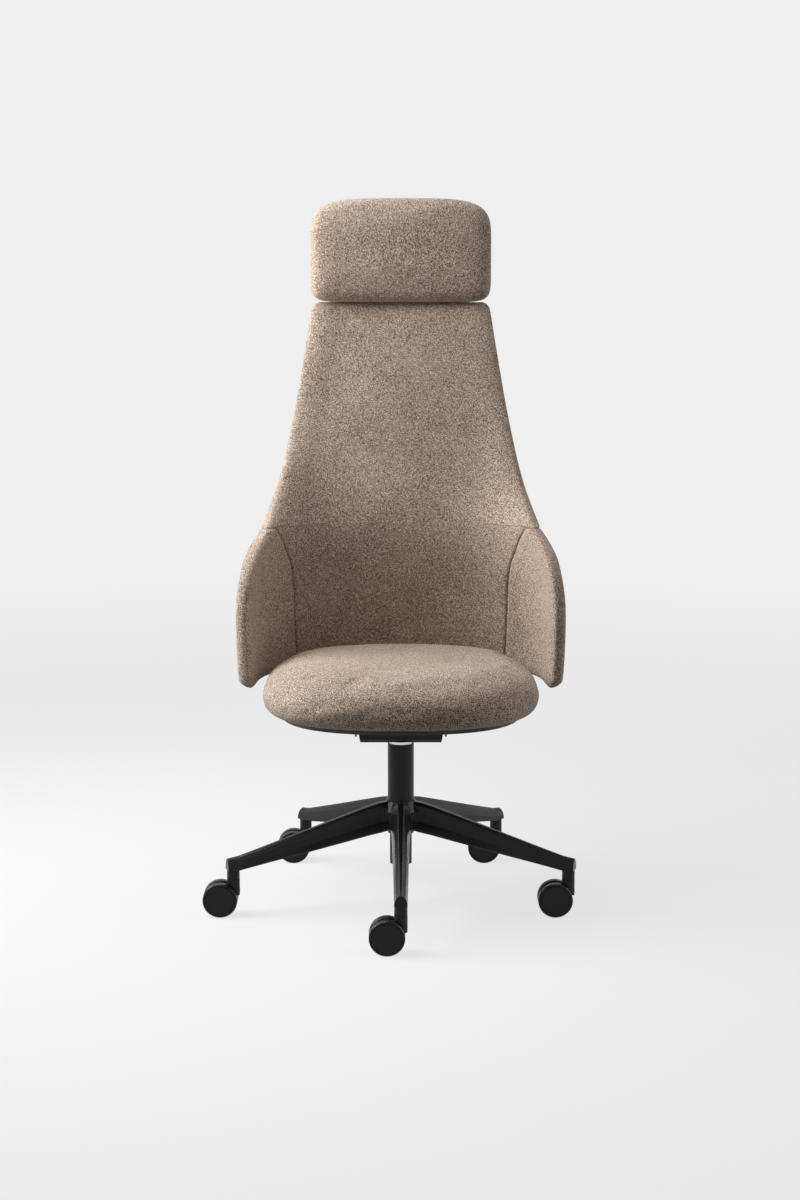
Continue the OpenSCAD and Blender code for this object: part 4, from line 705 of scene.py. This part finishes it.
def wing_rings(s):
    """Rings of a wing's panel: front face from the seam out, soft rim, rear face."""
    rings = []
    for z in spread(SHELL_LOW + 0.2 * mm, WING_TOP - 0.3 * mm, 46, dense_low=ROLL, dense_high=12 * mm):
        level = Level(z)
        e = level.e
        us = seam_share(z) + clear_of_seam(z)
        low = z < SHELL_LOW + 13.5 * mm
        dip = seam_dip(WING_TOP - z)
        deep = RIM - e - dip
        depth = deep if low else min(PAD, deep)
        stub = max(0.95, us + (1 - us) * 0.6)
        start = level.length_at(us)
        reach = level.whole - SOFT_REACH
        ring = [level.face(s, start, e + level.softness(start) + seam_dip(0))]
        if start < reach:
            for i in range(1, 33):
                length = start + (reach - start) * (i / 32) ** 1.25
                ring.append(level.face(s, length, e + max(dip, seam_dip(length - start))))
            ring += level.front_of_rim(s, reach, dip, 11)
        else:
            ring += level.front_of_rim(s, start, dip, 43)
        ring += level.rear_of_rim(s, dip)
        ring += [shell_point(z, s * (1 + stub) / 2, deep), shell_point(z, s * stub, depth)]
        ring += [shell_point(z, s * (us + (stub - us) * k / 10.2), depth) for k in range(10, -1, -1)]
        rings.append(ring if s > 0 else ring[::-1])
    return rings


middle_panel = as_object(lofted(middle_rings()), "middle_upholstery")
finished(middle_panel, cloth, "back", ["back_pad"])
for s, side in ((-1, "left"), (1, "right")):
    wing = as_object(lofted(wing_rings(s)), f"wing_upholstery_{side}")
    finished(wing, cloth, "back", [f"wing_pad_{side}"])


# The rear cover reaches this share of the way round, and its edges are rounded
COVER_REACH, COVER_ROUND = 0.943, 4 * mm


def cover_rings():
    """Rings of the rear cover, from its lower edge up: face on the core, then rear face."""
    rings = []
    low, high = SHELL_LOW + 14 * mm, SHELL_HIGH - ROLL - 0.6 * mm
    shares = [COVER_REACH * i / 48 for i in range(-48, 49)]
    for z in spread(low, high, 60, dense_low=5 * mm, dense_high=5 * mm):
        a, b = shell_level(z)[:2]
        e = rounding(min(z - low, high - z), COVER_ROUND)
        ring = [shell_point(z, u, max(shell_thickness(u) - COVER, PAD + CORE + 0.6 * mm))
                for u in shares]
        for u in reversed(shares):
            pull = rounding((COVER_REACH - abs(u)) * (a + b), COVER_ROUND)
            ring.append(shell_point(z, u, shell_thickness(u) - max(e, pull)))
        rings.append(ring)
    return rings


rear_cloth = as_object(lofted(cover_rings()), "rear_upholstery")
finished(rear_cloth, cloth, "back", ["back_cover"])


# Seat cushion

SEAT_WIDTH, SEAT_LENGTH, SEAT_FRONT = 0.521, 0.477, 0.262
SEAT_LOW, SEAT_HEIGHT, SEAT_POWER = 0.3816, 0.094, 2.5
RECESS_TOP, RECESS_INSET = 0.4092, 0.028


def power_sign(v, p):
    return math.copysign(abs(v) ** p, v)


def seat_ring(z, inset, fall, count=128):
    ring = []
    middle = SEAT_LENGTH / 2 - SEAT_FRONT
    for i in range(count):
        angle = 2 * math.pi * i / count
        x = (SEAT_WIDTH / 2 - inset) * power_sign(math.cos(angle), 2 / SEAT_POWER)
        y = (SEAT_LENGTH / 2 - inset) * power_sign(math.sin(angle), 2 / SEAT_POWER)
        ring.append(Vector((x, middle + y, z - fall * max(-y / SEAT_LENGTH * 2, 0) ** 2)))
    return ring


def profile_steps(profile, count):
    """Even steps along a profile drawn smoothly: height share, and inset share."""
    fine = []
    for i in range(len(profile) - 1):
        for k in range(24):
            s = profile[i][0] + (profile[i + 1][0] - profile[i][0]) * k / 24
            fine.append((s, max(smooth_value(profile, s, 1), 0)))
    fine.append((profile[-1][0], profile[-1][1]))
    lengths = [0]
    for p, q in zip(fine, fine[1:]):
        lengths.append(lengths[-1] + math.hypot(q[0] - p[0], (q[1] - p[1]) * 2.5))
    steps, j = [], 0
    for i in range(count + 1):
        want = lengths[-1] * i / count
        while j < len(lengths) - 2 and lengths[j + 1] < want:
            j += 1
        x = (want - lengths[j]) / max(lengths[j + 1] - lengths[j], 1e-9)
        steps.append((fine[j][0] * (1 - x) + fine[j + 1][0] * x, fine[j][1] * (1 - x) + fine[j + 1][1] * x))
    return steps


def seat_rings():
    """From the recess that holds board and pan, down its wall, and up round the cushion."""
    rings = [seat_ring(RECESS_TOP, RECESS_INSET + inset, 0) for inset in (0.16, 0.12, 0.08, 0.04, 0.01, 0)]
    rings += [seat_ring(RECESS_TOP - (RECESS_TOP - SEAT_LOW) * k, RECESS_INSET, 0)
              for k in (0.25, 0.5, 0.75, 1)]
    for s, inset in profile_steps(SEAT_PROFILE, 44):
        rings.append(seat_ring(SEAT_LOW + s * SEAT_HEIGHT, inset * SEAT_WIDTH / 2, s * 5 * mm))
    last = rings[-1]
    middle = sum(last, Vector()) / len(last)
    for k in (0.8, 0.6, 0.4, 0.2, 0.06):
        rings.append([middle + (p - middle) * k for p in last])
    return rings


def seat_held(p):
    """The seat's lower edge and the recess keep their place when the cushion is stuffed."""
    middle = SEAT_LENGTH / 2 - SEAT_FRONT
    share = (abs(2 * p.x / SEAT_WIDTH) ** SEAT_POWER
             + abs(2 * (p.y - middle) / SEAT_LENGTH) ** SEAT_POWER) ** (1 / SEAT_POWER)
    if p.z < RECESS_TOP + 4 * mm and share < 0.93:
        return 1
    return ease((SEAT_LOW + 24 * mm - p.z) / (18 * mm))


seat = as_object(lofted(seat_rings()), "seat_upholstery")
puffed(seat, 6 * mm, 4 * mm, seat_held, 2.0)
finished(seat, cloth, "seat", ["seat_cushion"])


# Headrest

HEAD_WIDTH, HEAD_LOW, HEAD_HEIGHT, HEAD_DEPTH, HEAD_FRONT = 0.359, 1.1341, 0.2046, 0.068, 0.289
HEAD_TOP_POWER, HEAD_LOW_POWER, HEAD_CROWN = 4.8, 10.0, 0.0025


def evenly(points, count):
    """The same closed outline with its points at equal distances."""
    lengths = [0.0]
    for p, q in zip(points, points[1:] + points[:1]):
        lengths.append(lengths[-1] + math.hypot(q[0] - p[0], q[1] - p[1]))
    kept, j = [], 0
    for i in range(count):
        want = lengths[-1] * i / count
        while lengths[j + 1] < want:
            j += 1
        p, q = points[j], points[(j + 1) % len(points)]
        x = (want - lengths[j]) / (lengths[j + 1] - lengths[j])
        kept.append((p[0] + (q[0] - p[0]) * x, p[1] + (q[1] - p[1]) * x))
    return kept


def headrest_ring(inset, y):
    half, tall = HEAD_WIDTH / 2 - inset, HEAD_HEIGHT / 2 - inset
    middle = HEAD_LOW + HEAD_HEIGHT / 2
    outline = []
    for i in range(720):
        angle = math.radians(i / 2 + 0.25)
        power = HEAD_TOP_POWER if math.sin(angle) > 0 else HEAD_LOW_POWER
        outline.append((half * power_sign(math.cos(angle), 2 / power),
                        tall * power_sign(math.sin(angle), 2 / power)))
    return [Vector((x, y, middle + z - HEAD_CROWN * (x / half) ** 2 * ease(z / tall * 1.6 - 0.2)))
            for x, z in evenly(outline, 176)]


def headrest_rings():
    rings = [headrest_ring(k * HEAD_DEPTH, HEAD_FRONT + HEAD_DEPTH) for k in (1.2, 1.05, 0.9, 0.75)]
    for s, inset in reversed(profile_steps(HEADREST_PROFILE, 48)):
        rings.append(headrest_ring(inset * HEAD_DEPTH, HEAD_FRONT + s * HEAD_DEPTH))
    rings += [headrest_ring(k * HEAD_DEPTH, HEAD_FRONT) for k in (0.75, 0.9, 1.05, 1.2)]
    return rings


def headrest_held(p):
    """The headrest's rear and its underside keep their place when it is stuffed."""
    return max(ease((p.y - HEAD_FRONT - 16 * mm) / (30 * mm)),
               ease((HEAD_LOW + 34 * mm - p.z) / (30 * mm)))


headrest = as_object(lofted(headrest_rings()), "headrest_upholstery")
puffed(headrest, 4 * mm, 2 * mm, headrest_held, 0.5)
finished(headrest, cloth, "headrest", ["headrest_cushion"])


# Floor, light and camera

def seen_directly(tree):
    """1 for rays that show the surroundings to the camera, in metal or through glass."""
    rays = add(tree, "ShaderNodeLightPath")
    first = add(tree, "ShaderNodeMath", operation="MAXIMUM")
    either = add(tree, "ShaderNodeMath", operation="MAXIMUM")
    tree.links.new(rays.outputs["Is Camera Ray"], first.inputs[0])
    tree.links.new(rays.outputs["Is Glossy Ray"], first.inputs[1])
    tree.links.new(first.outputs[0], either.inputs[0])
    tree.links.new(rays.outputs["Is Transmission Ray"], either.inputs[1])
    return either.outputs[0]


def floor_material():
    """Pale paper floor, which shows a faint shadow and throws little light back."""
    material, tree, shader = new_material("pale_floor")
    link = tree.links.new
    place = add(tree, "ShaderNodeTexCoord")
    speck = add(tree, "ShaderNodeTexNoise", Scale=3.0, Detail=2.0)
    link(place.outputs["Object"], speck.inputs["Vector"])
    tone = set_ramp(add(tree, "ShaderNodeValToRGB"), [(0.3, (0.80,) * 3), (0.7, (0.812,) * 3)])
    link(speck.outputs["Fac"], tone.inputs["Fac"])
    link(tone.outputs["Color"], shader.inputs["Base Color"])
    shader.inputs["Roughness"].default_value = 0.9
    shader.inputs["Specular IOR Level"].default_value = 0.0
    dim = add(tree, "ShaderNodeBsdfDiffuse", Color=(FLOOR_BOUNCE, FLOOR_BOUNCE, FLOOR_BOUNCE, 1))
    # The paper's own tone takes over away from the chair, where it meets the backdrop
    away = add(tree, "ShaderNodeVectorMath", operation="LENGTH")
    link(place.outputs["Object"], away.inputs[0])
    far = add(tree, "ShaderNodeMapRange", interpolation_type="SMOOTHSTEP")
    far.inputs["From Min"].default_value = 1.0
    far.inputs["From Max"].default_value = 4.6
    link(away.outputs["Value"], far.inputs["Value"])
    share = add(tree, "ShaderNodeMapRange")
    share.inputs["To Min"].default_value = FLOOR_GLOW
    share.inputs["To Max"].default_value = 1.0
    link(far.outputs[0], share.inputs["Value"])
    own = set_ramp(add(tree, "ShaderNodeValToRGB"),
                   [(0.0, (FLOOR_TONE,) * 3), (1.0, (BACKDROP_TONE,) * 3)])
    link(far.outputs[0], own.inputs["Fac"])
    glow = add(tree, "ShaderNodeEmission", Strength=1.0)
    link(own.outputs["Color"], glow.inputs["Color"])
    pale = add(tree, "ShaderNodeMixShader")
    link(share.outputs[0], pale.inputs[0])
    link(shader.outputs[0], pale.inputs[1])
    link(glow.outputs[0], pale.inputs[2])
    choice = add(tree, "ShaderNodeMixShader")
    link(seen_directly(tree), choice.inputs[0])
    link(dim.outputs[0], choice.inputs[1])
    link(pale.outputs[0], choice.inputs[2])
    out = next(n for n in tree.nodes if n.type == "OUTPUT_MATERIAL")
    link(choice.outputs[0], out.inputs["Surface"])
    return material


# How much light the floor throws back, its own tone and the backdrop's, and how far the floor's
# shadow is lightened
FLOOR_BOUNCE, FLOOR_TONE, BACKDROP_TONE, FLOOR_GLOW = 0.3, 0.93, 0.863, 0.78

bm = bmesh.new()
bmesh.ops.create_grid(bm, x_segments=8, y_segments=8, size=60)
floor = as_object(bm, "studio_floor", smooth=False)
floor.data.materials.append(floor_material())

scene = bpy.context.scene
world = bpy.data.worlds.new("studio")
scene.world = world
world.use_nodes = True
tree = world.node_tree
tree.nodes.clear()
out = add(tree, "ShaderNodeOutputWorld")
seen = add(tree, "ShaderNodeBackground", Strength=1.0)
seen.inputs["Color"].default_value = (BACKDROP_TONE, BACKDROP_TONE, BACKDROP_TONE, 1)
soft = add(tree, "ShaderNodeBackground", Strength=0.05)
soft.inputs["Color"].default_value = (1, 1, 1, 1)
choice = add(tree, "ShaderNodeMixShader")
tree.links.new(seen_directly(tree), choice.inputs[0])
tree.links.new(soft.outputs[0], choice.inputs[1])
tree.links.new(seen.outputs[0], choice.inputs[2])
tree.links.new(choice.outputs[0], out.inputs["Surface"])


def sun(name, towards, strength, softness):
    """Wide lamp far off, towards a direction, with its width in degrees."""
    lamp = bpy.data.lights.new(name, "SUN")
    lamp.energy = strength
    lamp.angle = math.radians(softness)
    holder = bpy.data.objects.new(name, lamp)
    scene.collection.objects.link(holder)
    holder.rotation_euler = Vector(towards).to_track_quat("Z", "Y").to_euler()


def softbox(name, place, target, width, height, strength):
    """Cloth-fronted lamp that faces a target, with its strength as the light level there."""
    lamp = bpy.data.lights.new(name, "AREA")
    lamp.shape = "RECTANGLE"
    lamp.size, lamp.size_y = width, height
    way = Vector(place) - Vector(target)
    lamp.energy = strength * math.pi ** 2 * way.length_squared
    holder = bpy.data.objects.new(name, lamp)
    scene.collection.objects.link(holder)
    holder.location = place
    holder.rotation_euler = way.to_track_quat("Z", "Y").to_euler()
    holder.visible_camera = False


softbox("left_softbox", (-1.5, 0.0, 1.3), (0, 0.1, 0.8), 1.0, 1.0, 1.25)
softbox("upper_softbox", (-0.7, -0.1, 2.1), (0, 0.1, 0.8), 1.0, 1.0, 0.88)
sun("right_fill", (1, 0, 0.3), 1.15, 50)

lens = bpy.data.cameras.new("camera")
lens.lens = 64.74
lens.sensor_width = 36
lens.clip_end = 200
camera = bpy.data.objects.new("camera", lens)
scene.collection.objects.link(camera)
camera.location = (0, -4.022, 1.2201)
camera.rotation_euler = (math.radians(90) - 0.1569, 0, 0)
lens.shift_x = -0.0007
scene.camera = camera
scene.view_settings.view_transform = "Standard"
